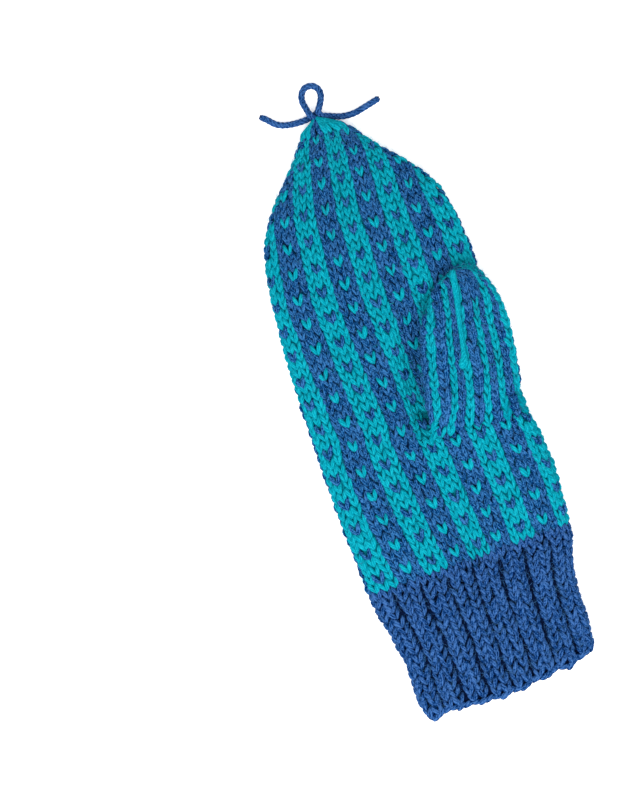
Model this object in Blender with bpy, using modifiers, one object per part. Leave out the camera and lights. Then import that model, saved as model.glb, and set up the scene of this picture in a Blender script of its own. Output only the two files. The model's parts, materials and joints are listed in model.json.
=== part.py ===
"""Knitted wool mitten for a right hand, lying palm up on a level surface.

It is knitted in the round: a ribbed cuff, the hand bag that carries on from it, and a thumb bag
knitted from the stitches round a hole in the palm. A bit of yarn is tied to the tip, with a loop
and two tails. Every knitted piece is an open skin of rows, thickened inwards to its wall.

X runs across the palm towards the thumb, Y from the cast-on edge to the tip, and Z up. The origin
is on the surface that the mitten lies on, under the middle of its length.
"""

import math

import bmesh
import bpy
import numpy as np

# Sizes in metres
CUFF_LENGTH = 0.0605
CUFF_WIDTH = 0.084
CUFF_HOLLOW = 0.0098
CUFF_WALL = 0.0033
RIB_DEPTH = 0.0014
SCALLOP = 0.0012

HAND_LENGTH = 0.2042
HAND_WIDTH = 0.0988
HAND_HOLLOW = 0.0112
HAND_WALL = 0.003

THUMB_LENGTH = 0.0693
THUMB_WIDTH = 0.0432
THUMB_HOLLOW = 0.0076
THUMB_WALL = 0.0026
THUMB_BASE = 0.0552
THUMB_INSET = 0.0022
THUMB_HOLE = 0.009
MOUND = 0.0055
MOUND_RUN = 0.042
BED = 0.005
BED_FADE = 0.013

YARN = 0.0029
GAP = 0.0003
REST_GAP = 0.0009

# How the knitting is divided
RIBS = 8
PALM_COLUMNS = 27
BACK_COLUMNS = 13
THUMB_COLUMNS = 12
THUMB_FIRST_COLUMN = 14

# Where the pieces start and end along Y
BOTTOM = -(CUFF_LENGTH + GAP + HAND_LENGTH) / 2
JOIN = BOTTOM + CUFF_LENGTH + GAP
TIP = JOIN + HAND_LENGTH
HOLE_FRONT = JOIN + THUMB_BASE
HOLE_BACK = HOLE_FRONT + THUMB_HOLE
THUMB_TIP = HOLE_FRONT + THUMB_LENGTH

# Rows of the cuff. Left and right are shares of half the cuff's width, flare goes from the cuff's
# own width to that of the hand's first row, and tilt raises the right end of a row.
ALONG, LEFT, RIGHT, HOLLOW, TILT, FLARE = range(6)
CUFF_ROWS = (
    (0.00, 0.905, 0.975, 1.08, 0.085, 0.00),
    (0.06, 0.945, 1.000, 1.05, 0.080, 0.00),
    (0.16, 0.970, 1.015, 1.00, 0.070, 0.00),
    (0.34, 0.965, 1.015, 0.98, 0.055, 0.00),
    (0.52, 0.975, 1.010, 0.98, 0.045, 0.05),
    (0.68, 1.000, 1.000, 0.98, 0.038, 0.30),
    (0.80, 1.010, 1.000, 1.00, 0.035, 0.66),
    (0.90, 1.010, 1.010, 1.00, 0.035, 0.97),
    (1.00, 1.010, 1.010, 1.00, 0.035, 1.00),
)

# Rows of the hand. Left and right are shares of half the hand's width, and hollow is the share of
# the hollow's full height.
HAND_ROWS = (
    (0.000, 0.950, 0.972, 0.74, 0.035),
    (0.045, 0.958, 0.992, 0.88, 0.033),
    (0.110, 0.974, 1.000, 0.98, 0.028),
    (0.180, 0.985, 0.986, 1.00, 0.018),
    (0.230, 0.993, 0.957, 1.00, 0.008),
    (0.270, 0.998, 0.926, 1.00, 0.002),
    (0.320, 1.000, 0.915, 1.00, 0.000),
    (0.420, 1.000, 0.907, 1.00, 0.000),
    (0.550, 0.990, 0.900, 0.98, 0.000),
    (0.650, 0.964, 0.895, 0.94, 0.000),
    (0.715, 0.930, 0.862, 0.88, 0.000),
    (0.755, 0.893, 0.833, 0.83, 0.000),
    (0.800, 0.825, 0.775, 0.76, 0.000),
    (0.845, 0.705, 0.640, 0.68, 0.000),
    (0.885, 0.560, 0.490, 0.62, 0.000),
    (0.930, 0.395, 0.315, 0.56, 0.000),
    (0.965, 0.280, 0.214, 0.50, 0.000),
    (0.986, 0.220, 0.104, 0.42, 0.000),
    (1.000, 0.170, 0.020, 0.34, 0.000),
)

# Rows of the thumb. Left and right are shares of its width from the middle of its base.
THUMB_ROWS = (
    (0.000, -0.493, 0.458, 1.00),
    (0.115, -0.493, 0.500, 1.00),
    (0.228, -0.477, 0.532, 1.00),
    (0.355, -0.442, 0.570, 1.00),
    (0.482, -0.392, 0.588, 1.00),
    (0.606, -0.336, 0.597, 0.98),
    (0.736, -0.248, 0.585, 0.90),
    (0.799, -0.182, 0.556, 0.84),
    (0.863, -0.090, 0.518, 0.76),
    (0.924, 0.022, 0.466, 0.66),
    (0.967, 0.125, 0.408, 0.56),
    (1.000, 0.225, 0.340, 0.46),
)

# Dents in the palm: middle as shares of half the width and of the length of the hand, length and
# breadth as shares of the hand's width, turn in degrees from Y, and depth as a share of the hollow.
DENTS = (
    (0.02, 0.360, 0.30, 0.055, -8, 0.26),
    (0.12, 0.500, 0.20, 0.060, -16, 0.16),
    (-0.42, 0.520, 0.34, 0.180, 12, 0.10),
    (-0.60, 0.170, 0.22, 0.090, -10, 0.09),
    (0.36, 0.760, 0.22, 0.100, 20, 0.09),
    (-0.10, 0.860, 0.16, 0.080, 6, 0.10),
)

# Routes of the tie yarn: across, along and up from under the tip's end, in metres
LOOP_ROUTE = (
    (-0.0010, 0.0008, 0.0052),
    (-0.0029, 0.0034, 0.0052),
    (-0.0039, 0.0073, 0.0036),
    (-0.0044, 0.0104, 0.0020),
    (-0.0038, 0.0134, 0.0016),
    (-0.0016, 0.0158, 0.0016),
    (0.0018, 0.0158, 0.0016),
    (0.0040, 0.0136, 0.0018),
    (0.0042, 0.0104, 0.0028),
    (0.0026, 0.0068, 0.0046),
    (0.0010, 0.0042, 0.0054),
    (0.0016, 0.0020, 0.0050),
    (0.0046, 0.0008, 0.0034),
    (0.0100, -0.0010, 0.0018),
    (0.0155, -0.0014, 0.0016),
    (0.0210, -0.0003, 0.0016),
    (0.0285, 0.0016, 0.0016),
)
TAIL_ROUTE = (
    (0.0022, 0.0054, 0.0017),
    (0.0002, 0.0038, 0.0016),
    (-0.0028, 0.0027, 0.0016),
    (-0.0066, 0.0022, 0.0016),
    (-0.0113, 0.0023, 0.0016),
    (-0.0156, 0.0031, 0.0016),
    (-0.0188, 0.0047, 0.0016),
    (-0.0219, 0.0078, 0.0016),
    (-0.0245, 0.0099, 0.0016),
)

BLUE = (0.045, 0.125, 0.40)
TEAL = (0.0, 0.42, 0.50)


# Reading the tables
def follow(table, column, at):
    """One column of a table at any share along it, on a smooth curve through its rows."""
    along = np.array([row[ALONG] for row in table])
    value = np.array([row[column] for row in table])
    slope = np.gradient(value, along)
    at = np.clip(at, along[0], along[-1])
    i = np.clip(np.searchsorted(along, at, side="right") - 1, 0, len(along) - 2)
    step = along[i + 1] - along[i]
    t = (at - along[i]) / step
    return (
        value[i] * (1 + 2 * t) * (1 - t) ** 2
        + slope[i] * step * t * (1 - t) ** 2
        + value[i + 1] * t * t * (3 - 2 * t)
        + slope[i + 1] * step * t * t * (t - 1)
    )


def ease(t):
    """From 0 to 1 without a corner at either end."""
    t = np.clip(t, 0, 1)
    return t * t * (3 - 2 * t)


# The round section that every row of knitting follows
ROUNDNESS = 2.5
EQUATOR_SHARE = 0.44
SINK = 0.0014
SAMPLES = 181


def halves():
    """Across and up for the upper half of a section, from its left end to its right."""
    turn = np.linspace(math.pi, 0, SAMPLES)
    across = np.sign(np.cos(turn)) * np.abs(np.cos(turn)) ** (2 / ROUNDNESS)
    up = np.abs(np.sin(turn)) ** (2 / ROUNDNESS)
    return across, up


def spread(points, shares):
    """Points at the given shares of the length of a line of points."""
    steps = np.linalg.norm(np.diff(points, axis=0), axis=1)
    length = np.concatenate([[0], np.cumsum(steps)])
    at = np.array(shares) * length[-1]
    return np.stack([np.interp(at, length, points[:, k]) for k in range(3)], axis=1)


# The hand
def thumb_edge(y, side):
    """X of the thumb's left or right edge. The hole ends just short of the hand's side."""
    hand_side = HAND_WIDTH / 2 * follow(HAND_ROWS, RIGHT, THUMB_BASE / HAND_LENGTH)
    centre = hand_side - THUMB_INSET - THUMB_WIDTH * THUMB_ROWS[0][RIGHT]
    along = (y - HOLE_FRONT) / THUMB_LENGTH
    return centre + THUMB_WIDTH * follow(THUMB_ROWS, side, along)


def palm_height(x, y):
    """Height of the palm's crown, with the mound below the thumb, its bed and the dents."""
    along = (y - JOIN) / HAND_LENGTH
    height = 2 * HAND_WALL + HAND_HOLLOW * follow(HAND_ROWS, HOLLOW, along)
    mound = MOUND * np.clip((y - HOLE_FRONT + MOUND_RUN) / MOUND_RUN, 0, 1) ** 2
    down = ease((y - HOLE_FRONT) / THUMB_HOLE)
    back = ease((y - THUMB_TIP + THUMB_WIDTH * 0.4) / (THUMB_WIDTH * 0.7))
    side = ease((x - thumb_edge(y, LEFT) + BED_FADE) / BED_FADE)
    trough = 1 - 0.5 * ease((x - thumb_edge(y, RIGHT)) / THUMB_WIDTH * 2 + 1)
    height = height + side * (mound * (1 - down) - BED * trough * down * (1 - back))
    for across, place, length, breadth, turn, depth in DENTS:
        dx = x - across * HAND_WIDTH / 2
        dy = y - JOIN - place * HAND_LENGTH
        c, s = math.cos(math.radians(turn)), math.sin(math.radians(turn))
        a = (dx * s * -1 + dy * c) / (length * HAND_WIDTH)
        b = (dx * c + dy * s) / (breadth * HAND_WIDTH)
        height = height - depth * HAND_HOLLOW * np.exp(-a * a - b * b)
    return height


def hand_row(y):
    """Middle, half width, depth and tilt of the hand's row at y."""
    along = (y - JOIN) / HAND_LENGTH
    left = -HAND_WIDTH / 2 * follow(HAND_ROWS, LEFT, along)
    right = HAND_WIDTH / 2 * follow(HAND_ROWS, RIGHT, along)
    depth = 2 * HAND_WALL + HAND_HOLLOW * follow(HAND_ROWS, HOLLOW, along)
    return (left + right) / 2, (right - left) / 2, depth, follow(HAND_ROWS, TILT, along)


def hand_ring(y, palm_shares, back_shares):
    """Points over the palm from left to right, then under the back from right to left."""
    middle, half, _, tilt = hand_row(y)
    across, up = halves()
    x = middle + half * across
    row = y + tilt * half * across
    height = palm_height(x, row)
    top = height * (EQUATOR_SHARE + (1 - EQUATOR_SHARE) * up)
    under = np.maximum(0, height * EQUATOR_SHARE * (1 - up) - SINK * up)
    palm = spread(np.stack([x, row, top], axis=1), palm_shares)
    back = spread(np.stack([x, row, under], axis=1)[::-1], back_shares)
    return np.concatenate([palm, back])


def palm_line(y):
    """A dense line of points over the palm, from its left side to its right."""
    return hand_ring(y, np.linspace(0, 1, SAMPLES), [])


def hole_shares(y, inset=0):
    """The shares of the way over a palm row at which the thumb's hole starts and ends."""
    line = palm_line(np.clip(y, HOLE_FRONT, HOLE_BACK))
    length = np.concatenate([[0], np.cumsum(np.linalg.norm(np.diff(line, axis=0), axis=1))])
    left, right = thumb_edge(HOLE_FRONT, LEFT) + inset, thumb_edge(HOLE_FRONT, RIGHT) - inset
    return np.interp([left, right], line[:, 0], length / length[-1])


def palm_columns(y):
    """The column lines of a palm row, as shares, with the thumb's columns fitted to its hole."""
    marks = [0, THUMB_FIRST_COLUMN, THUMB_FIRST_COLUMN + THUMB_COLUMNS, PALM_COLUMNS]
    return np.interp(np.arange(PALM_COLUMNS + 1), marks, [0, *hole_shares(y), 1])


def palm_surface(x, y):
    """Height of the palm above the floor at a place, and the floor beyond its sides."""
    middle, half, _, _ = hand_row(y)
    inside = np.clip(1 - np.abs((x - middle) / half) ** ROUNDNESS, 0, 1)
    top = palm_height(x, y) * (EQUATOR_SHARE + (1 - EQUATOR_SHARE) * inside ** (1 / ROUNDNESS))
    return np.where(inside > 0, top, 0)


# The cuff
def rib(share):
    """How high the ribs stand at a share of the way over the cuff: 0 in a valley, 1 on a ridge."""
    return (0.5 - 0.5 * np.cos(2 * math.pi * RIBS * np.asarray(share))) ** 0.8


def cuff_ring(along, palm_shares, back_shares):
    """One row of the cuff, with its ribs pressed in between the ridges."""
    flare = follow(CUFF_ROWS, FLARE, along)
    middle, half, join_depth, _ = hand_row(JOIN)
    left = CUFF_WIDTH / 2 * follow(CUFF_ROWS, LEFT, along) * (1 - flare) - (middle - half) * flare
    right = CUFF_WIDTH / 2 * follow(CUFF_ROWS, RIGHT, along) * (1 - flare) + (middle + half) * flare
    depth = 2 * CUFF_WALL + CUFF_HOLLOW * follow(CUFF_ROWS, HOLLOW, along)
    depth = depth * (1 - flare) + join_depth * flare
    middle, half, equator = (right - left) / 2, (right + left) / 2, EQUATOR_SHARE * depth
    across, up = halves()
    x = middle + half * across
    top = equator + (depth - equator) * up
    under = np.maximum(0, equator - (equator + SINK) * up)
    palm = spread(np.stack([x, x * 0, top], axis=1), palm_shares)
    back = spread(np.stack([x, x * 0, under], axis=1)[::-1], back_shares)
    ring = np.concatenate([palm, back])
    valley = 1 - rib(np.concatenate([palm_shares, back_shares]))
    valley = valley * (0.3 + 0.7 * np.abs(ring[:, 2] - equator) / (depth - equator))
    centre = np.array([middle, 0, equator])
    outward = (ring - centre) / np.array([half, 1, equator])
    outward = outward / np.maximum(np.linalg.norm(outward, axis=1, keepdims=True), 1e-9)
    ring = ring - outward * (RIB_DEPTH * valley)[:, None]
    ring[:, 2] = np.maximum(ring[:, 2], 0)
    edge = SCALLOP * valley * (1 - ease(along / 0.12))
    lift = CUFF_ROWS[0][TILT] * CUFF_WIDTH / 2 * CUFF_ROWS[0][LEFT]
    ring[:, 1] = BOTTOM + lift + along * (CUFF_LENGTH - lift) + edge
    ring[:, 1] += follow(CUFF_ROWS, TILT, along) * (ring[:, 0] - middle)
    return ring


# The thumb
def thumb_ring(along, count=28):
    """One free row of the thumb: its face from left to right, then its back from right to left."""
    y = HOLE_FRONT + along * THUMB_LENGTH
    left, right = thumb_edge(y, LEFT), thumb_edge(y, RIGHT)
    middle, half = (left + right) / 2, (right - left) / 2
    depth = 2 * THUMB_WALL + THUMB_HOLLOW * follow(THUMB_ROWS, HOLLOW, along)
    low = float(palm_surface(middle - half * 0.2, y)) + REST_GAP
    equator = low + depth * 0.46
    across, up = halves()
    x = middle + half * across
    droop = -0.05 * half * (across + 0.3 * across**2)
    top = equator + (low + depth - equator) * up + droop
    under = equator - (equator - low + SINK) * up + droop
    under = np.maximum(under, palm_surface(x, y) + REST_GAP)
    top = np.maximum(top, under)
    x, z = np.append(x, x[::-1][1:]), np.append(top, under[::-1][1:])
    whole = np.stack([x, np.full(len(x), y), z], axis=1)
    sides = (count - 2 * THUMB_COLUMNS) // 2
    first = sides / 2 / count
    shares = (first + np.arange(count) / count) % 1
    return spread(whole, shares)


def hole_ring(inset):
    """The edge of the hole in the palm, moved into the hole by the inset."""
    edges = []
    for y in (HOLE_FRONT + inset, (HOLE_FRONT + HOLE_BACK) / 2, HOLE_BACK - inset):
        edges.append(hand_ring(y, np.linspace(*hole_shares(y, 2.5 * inset), THUMB_COLUMNS + 1), []))
    front, middle, back = edges
    return np.concatenate([front, middle[-1:], back[::-1], middle[:1]])


def thumb_rings(turns, rows):
    """The thumb's rows: from the hole's edge round the fold at its back, then free of the palm."""
    start = hole_ring(GAP)
    end = thumb_ring(rows[0])
    inner = THUMB_COLUMNS - 1
    behind = np.array([0.15, *[0] * inner, 0.15, 0.5, 0.85, *[1] * inner, 0.85, 0.5])[:, None]
    beside = np.array([-0.5, *[0] * inner, 0.7, 1, 0.7, *[0] * inner, -0.5, -0.7])[:, None]
    leave = np.array([0, 1.9, 0.5]) * (1 - behind) + np.array([0, -0.95, 0.5]) * behind
    leave = THUMB_HOLE * (leave + np.array([0.34, 0, 0]) * beside)
    arrive = THUMB_HOLE * (np.array([0, 1.55, 0.13]) * (1 - behind) + np.array([0, 1, 0]) * behind)
    rings = [start]
    for t in turns:
        rings.append(
            start * (1 + 2 * t) * (1 - t) ** 2
            + leave * t * (1 - t) ** 2
            + end * t * t * (3 - 2 * t)
            + arrive * t * t * (t - 1)
        )
    return rings + [thumb_ring(along) for along in rows]


def thumb_walls(rows, folded):
    """The wall's share of its full thickness, which is less where the fold's corners gather."""
    side = np.minimum(np.arange(THUMB_COLUMNS + 1), np.arange(THUMB_COLUMNS + 1)[::-1])
    from_corner = np.concatenate([side, [0], side, [0]])
    share = 0.42 + 0.58 * ease(from_corner / 3)
    opened = ease((np.arange(rows) - folded + 1) / 3)[:, None]
    to_tip = ease((np.arange(rows) - rows + 4) / 3)[:, None]
    return (share * (1 - opened) + opened) * (1 - 0.3 * to_tip)


# Making the pieces
def wool(name, colour):
    """A matt wool material."""
    material = bpy.data.materials.new(name)
    material.use_nodes = True
    shader = material.node_tree.nodes["Principled BSDF"]
    shader.inputs["Base Color"].default_value = (*colour, 1)
    shader.inputs["Roughness"].default_value = 0.9
    shader.inputs["Metallic"].default_value = 0
    return material


def skin(name, rings, wall, material, tip=None, hole=None, thin=None):
    """A piece of knitting: rows joined into an open skin, closed at its tip, and given its wall."""
    around = len(rings[0])
    mesh = bmesh.new()
    rows = [[mesh.verts.new(point) for point in ring] for ring in rings]
    for i in range(len(rows) - 1):
        for j in range(around):
            if hole and i in hole[0] and j in hole[1]:
                continue
            k = (j + 1) % around
            mesh.faces.new((rows[i][j], rows[i][k], rows[i + 1][k], rows[i + 1][j]))
    if tip is not None:
        pole = mesh.verts.new(tip)
        for j in range(around):
            mesh.faces.new((rows[-1][j], rows[-1][(j + 1) % around], pole))
    loose = [vert for vert in mesh.verts if not vert.link_faces]
    bmesh.ops.delete(mesh, geom=loose, context="VERTS")
    data = bpy.data.meshes.new(name)
    mesh.to_mesh(data)
    mesh.free()
    data.shade_smooth()
    data.materials.append(material)
    piece = bpy.data.objects.new(name, data)
    collection.objects.link(piece)
    thick = piece.modifiers.new("wall", "SOLIDIFY")
    thick.thickness = wall
    thick.offset = -1
    if thin is not None:
        group = piece.vertex_groups.new(name="wall")
        for index, share in enumerate(np.ravel(thin)):
            group.add([index], float(share), "REPLACE")
        thick.vertex_group = "wall"
    return piece


def yarn(name, route, step, material):
    """A round yarn laid along a smooth curve through its route."""
    points = np.array(route) + np.array([tip_x, TIP, 0])
    ends = np.concatenate([[2 * points[0] - points[1]], points, [2 * points[-1] - points[-2]]])
    line = []
    for a, b, c, d in zip(ends, ends[1:], ends[2:], ends[3:]):
        for t in np.linspace(0, 1, 12, endpoint=False):
            bend = (2 * a - 5 * b + 4 * c - d) * t * t + (3 * b - a - 3 * c + d) * t**3
            line.append(b + ((c - a) * t + bend) / 2)
    line.append(points[-1])
    line = np.array(line)
    length = np.linalg.norm(np.diff(line, axis=0), axis=1).sum()
    line = spread(line, np.linspace(0, 1, round(length / step) + 1))
    curve = bpy.data.curves.new(name, "CURVE")
    curve.dimensions = "3D"
    curve.bevel_depth = YARN / 2
    curve.bevel_resolution = 2
    curve.use_fill_caps = True
    curve.render_resolution_u = 0
    spline = curve.splines.new("POLY")
    spline.points.add(len(line) - 1)
    for point, place in zip(spline.points, line):
        point.co = (*place, 1)
    curve.materials.append(material)
    piece = bpy.data.objects.new(name, curve)
    collection.objects.link(piece)
    return piece


for old in list(bpy.data.objects):
    bpy.data.objects.remove(old, do_unlink=True)
collection = bpy.data.collections.new("wool_mitten")
bpy.context.scene.collection.children.link(collection)

# Cuff: five faces over each ridge on the palm side and four under it
cuff_palm = np.arange(RIBS * 5 + 1) / (RIBS * 5)
cuff_back = np.arange(1, RIBS * 4) / (RIBS * 4)
cuff_rows = np.array([0, 0.05, 0.14, 0.3, 0.46, 0.62, 0.76, 0.88, 1])
cuff_rings = [cuff_ring(along, cuff_palm, cuff_back) for along in cuff_rows]
skin("ribbed_cuff", cuff_rings, CUFF_WALL, wool("blue_wool_cuff", BLUE))

# Hand: rows up to the hole, two across it, and closer rows where the sides draw in to the tip
hand_back = np.arange(1, BACK_COLUMNS) / BACK_COLUMNS
before = np.linspace(JOIN, HOLE_FRONT, 7)
across_hole = np.array([(HOLE_FRONT + HOLE_BACK) / 2, HOLE_BACK])
straight = np.linspace(HOLE_BACK, JOIN + 0.7 * HAND_LENGTH, 9)[1:]
drawn_in = JOIN + HAND_LENGTH * np.array([0.745, 0.785, 0.825, 0.865, 0.905, 0.94, 0.967, 0.985])
hand_rows = np.concatenate([before, across_hole, straight, drawn_in])
hand_rings = [hand_ring(y, palm_columns(y), hand_back) for y in hand_rows]
tip_x = float(hand_rings[-1][:, 0].mean())
tip_height = float(hand_rings[-1][:, 2].mean())
hole = (range(6, 8), range(THUMB_FIRST_COLUMN, THUMB_FIRST_COLUMN + THUMB_COLUMNS))
hand_tip = (tip_x, TIP, tip_height)
skin("hand", hand_rings, HAND_WALL, wool("striped_wool_hand", TEAL), hand_tip, hole)

# Thumb: it starts 0.3 mm inside the hole's edge, folds back on itself and lies on the palm
free_rows = np.array([0.2, 0.29, 0.39, 0.49, 0.59, 0.68, 0.76, 0.83, 0.89, 0.94, 0.975])
rings = thumb_rings((0.12, 0.28, 0.5, 0.75), free_rows)
thumb_end = rings[-1].mean(axis=0)
thumb_tip = (thumb_end[0], THUMB_TIP, thumb_end[2])
thin = np.append(np.ravel(thumb_walls(len(rings), 4)), 0.7)
skin("thumb", rings, THUMB_WALL, wool("striped_wool_thumb", TEAL), thumb_tip, thin=thin)

# Tie yarn
yarn("tie_loop", LOOP_ROUTE, 0.0014, wool("blue_yarn_loop", BLUE))
yarn("tie_tail", TAIL_ROUTE, 0.0014, wool("blue_yarn_tail", BLUE))
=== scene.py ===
# %% [markdown]
# # A hand-knitted striped mitten
#
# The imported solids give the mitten's true outline, hollow and wall. This script dresses them with what the
# eye reads as wool: thousands of single stitches, a ribbed cuff with a rope-like cast-on edge, a tied bit
# of yarn at the tip and a little loose fibre. Lengths in this file are in metres unless a name ends in
# `_mm`. All chance in it comes from one seeded generator, so every run gives the same mitten.

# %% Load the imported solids
import json
import math
from functools import partial

import bpy
import numpy as np
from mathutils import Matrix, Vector
from mathutils.bvhtree import BVHTree

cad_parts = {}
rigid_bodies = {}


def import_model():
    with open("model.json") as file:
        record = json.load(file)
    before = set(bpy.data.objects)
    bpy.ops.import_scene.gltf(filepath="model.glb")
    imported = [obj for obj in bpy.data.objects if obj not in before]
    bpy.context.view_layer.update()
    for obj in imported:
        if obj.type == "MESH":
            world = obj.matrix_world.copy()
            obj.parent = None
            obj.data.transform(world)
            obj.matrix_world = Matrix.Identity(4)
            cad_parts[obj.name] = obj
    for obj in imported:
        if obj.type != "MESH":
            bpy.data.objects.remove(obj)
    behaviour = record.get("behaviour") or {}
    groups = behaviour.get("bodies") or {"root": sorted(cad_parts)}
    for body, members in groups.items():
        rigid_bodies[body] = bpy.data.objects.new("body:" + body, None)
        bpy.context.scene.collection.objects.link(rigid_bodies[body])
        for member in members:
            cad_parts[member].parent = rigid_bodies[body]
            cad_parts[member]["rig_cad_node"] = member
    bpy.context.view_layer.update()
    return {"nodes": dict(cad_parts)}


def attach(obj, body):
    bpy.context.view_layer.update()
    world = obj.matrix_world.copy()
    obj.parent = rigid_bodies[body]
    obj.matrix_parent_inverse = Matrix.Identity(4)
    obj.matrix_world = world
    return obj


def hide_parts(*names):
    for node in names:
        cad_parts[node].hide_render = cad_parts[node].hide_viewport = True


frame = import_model()
print("solids:", sorted(frame["nodes"]))

# %% [markdown]
# ## Camera
#
# The picture is taken from straight above, from far enough away that nothing converges. An orthographic
# camera would come close. A long lens high over the mitten is used, because it also makes the thumb, which
# lies nearer, the tiny bit larger that it is in a photograph. The camera is turned about its own axis, so
# that the mitten leans to the left in the picture while it lies square to the axes of the scene. The height
# that the picture takes in is measured at the middle of the mitten's thickness.

# %% Camera over the mitten
CAMERA_HEIGHT = 1.9
PICTURE_HEIGHT = 0.352
MEASURED_AT = 0.01
AIM = (-0.0448, 0.0167)
LEAN = math.radians(-18)

lens = bpy.data.cameras.new("overhead")
lens.sensor_width = 36
lens.lens = lens.sensor_width * CAMERA_HEIGHT / PICTURE_HEIGHT
lens.clip_start, lens.clip_end = 0.05, 10
camera = bpy.data.objects.new("overhead", lens)
camera.location = (*AIM, CAMERA_HEIGHT + MEASURED_AT)
camera.rotation_euler = (0, 0, LEAN)
bpy.context.scene.collection.objects.link(camera)
bpy.context.scene.camera = camera
print("lens:", round(lens.lens), "mm")

# %% [markdown]
# ## Shaders in plain Python
#
# A shader is a tree of nodes, which is long to write out by hand. `Wire` stands for one output socket, and
# Python's own arithmetic on it adds the Math nodes. `Finish` starts a material and adds any other node from
# its type, its settings and the values of its sockets.


# %% A socket that can be added and multiplied
class Wire:
    """One output of a node, with arithmetic that adds Math nodes."""

    def __init__(self, finish, socket):
        self.finish, self.socket = finish, socket

    def math(self, operation, *others):
        plugs = dict(enumerate((self, *others)))
        return self.finish.add("ShaderNodeMath", {"operation": operation}, plugs)

    def __add__(self, other):
        return self.math("ADD", other)

    def __sub__(self, other):
        return self.math("SUBTRACT", other)

    def __rsub__(self, other):
        return (self * -1).math("ADD", other)

    def __mul__(self, other):
        return self.math("MULTIPLY", other)

    def __pow__(self, other):
        return self.math("POWER", other)

    __radd__, __rmul__ = __add__, __mul__

    def fract(self):
        return self.math("FRACT")

    def abs(self):
        return self.math("ABSOLUTE")

    def between(self, low, high):
        return self.finish.add("ShaderNodeMapRange", {}, {"Value": self, 1: low, 2: high})


# %% A material under construction
class Finish:
    """A material whose nodes are added by type, settings and socket values."""

    def __init__(self, name):
        self.material = bpy.data.materials.new(name)
        self.material.use_nodes = True
        self.tree = self.material.node_tree
        self.surface = self.tree.nodes["Principled BSDF"]

    def plug(self, socket, value):
        if isinstance(value, Wire):
            self.tree.links.new(value.socket, socket)
        else:
            socket.default_value = value

    def add(self, kind, settings, plugs, out=0):
        node = self.tree.nodes.new(kind)
        for name, value in settings.items():
            setattr(node, name, value)
        for key, value in plugs.items():
            self.plug(node.inputs[key], value)
        return Wire(self, node.outputs[out])

    def noise(self, where, scale, detail, roughness=0.5):
        plugs = {"Vector": where, "Scale": scale, "Detail": detail, "Roughness": roughness}
        return self.add("ShaderNodeTexNoise", {}, plugs)

    def map_values(self, name):
        """The two values of one of the mesh's maps."""
        where = self.add("ShaderNodeUVMap", {"uv_map": name}, {})
        split = self.add("ShaderNodeSeparateXYZ", {}, {0: where})
        return split, Wire(self, split.socket.node.outputs[1])

    def blend(self, factor, first, second):
        """A mix of two colours. The node keeps its colour sockets at these numbers."""
        plugs = {0: factor, 6: first, 7: second}
        return self.add("ShaderNodeMix", {"data_type": "RGBA"}, plugs, 2)

    def finish(self, **values):
        for name, value in values.items():
            self.plug(self.surface.inputs[name.replace("_", " ")], value)
        return self.material


# %% [markdown]
# ## Wool
#
# Each strand is spun from plies that wind round it, so light catches slanting ridges along every stitch. To
# model the plies of every stitch would take many times the faces, so here they are bump on plain beads,
# with painted light on their ridges and painted shade in their grooves. The bead meshes below carry a UV map
# that counts turns round the strand and millimetres along it. The ridges are worked out from those two
# numbers, so they wind the same way on every stitch, whatever its direction. A second map holds a random
# tone for each stitch, because dyed wool takes up colour unevenly, and how far along the leg a place is,
# because its ends dive into the shade of the next stitches and are painted darker. Each strand is also
# painted lighter on its top and darker at its sides, as shade falls on a round strand. Noise in the object's
# own space adds the matted fibre.
#
# The three wools differ in more than colour, as on the real mitten: the blue is more flecked than the teal,
# and the cuff's strands look rounder and smoother than those of the stripes, with fainter plies and more
# painted shade at their sides.


# %% Wool shader
PLIES = 6
LEAD_MM = 18.0
PLY_RIDGE = 0.00022


def wool(name, dark, middle, light, uneven, spun=0.58, body=0.50):
    """Matt spun wool in three tones of one colour, with shares for flecks, plies and painted shade."""
    make = Finish(name)
    around, along = make.map_values("strand")
    tone, share = make.map_values("tone")
    place = make.add("ShaderNodeTexCoord", {}, {}, "Object")
    turn = around * (2 * math.pi)
    in_strand = {0: turn.math("COSINE"), 1: turn.math("SINE"), 2: along * 0.42 + tone * 90}
    in_strand = make.add("ShaderNodeCombineXYZ", {}, in_strand)
    streak = make.noise(in_strand, 1.5, 3, 0.62)
    matted = make.noise(place, 1500, 3, 0.62)
    patch = make.noise(place, 260, 2)
    fibre = make.noise(place, 4200, 2)
    wound = (around - along * (1 / LEAD_MM)) * PLIES + (matted + streak) * 0.7
    # painted light on the plies' ridges and painted shade in their grooves
    ply = 1 - ((wound.fract() - 0.5).abs() * 2) ** 2.4
    # painted light and shade: each strand is lighter on its top and darker at its sides
    painted_form_shade = turn.math("SINE").between(-0.10, 0.80)
    # painted shade: darker towards both ends of a leg, where it dives under the next stitches
    ends = 1 - ((share * 2 - 1).abs() ** 5) * 0.8
    fleck = (streak - 0.5) * 2.4 + (matted - 0.5) * 2.8 + (tone - 0.5) * 0.18 + (patch - 0.5) * 0.40
    # depth weighs the painted light and shade of the plies (spun) and of each strand (body) with real flecks
    depth = (ply * spun + painted_form_shade * ends * body + fleck * uneven).between(0.08, 1.26)
    low = make.blend(depth.between(0.0, 0.5), dark, middle)
    colour = make.blend(depth.between(0.5, 1.0), low, light)
    relief = ply * PLY_RIDGE + matted * 0.00030 + streak * 0.00030 + fibre * 0.00006
    bump = make.add("ShaderNodeBump", {}, {"Height": relief, "Distance": 1.0, "Strength": 0.9})
    return make.finish(
        Base_Color=colour,
        Roughness=0.92,
        Normal=bump,
        Sheen_Weight=0.05,
        Sheen_Roughness=0.5,
        Sheen_Tint=(*light[:3], 1),
        Specular_IOR_Level=0.015,
    )


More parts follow.
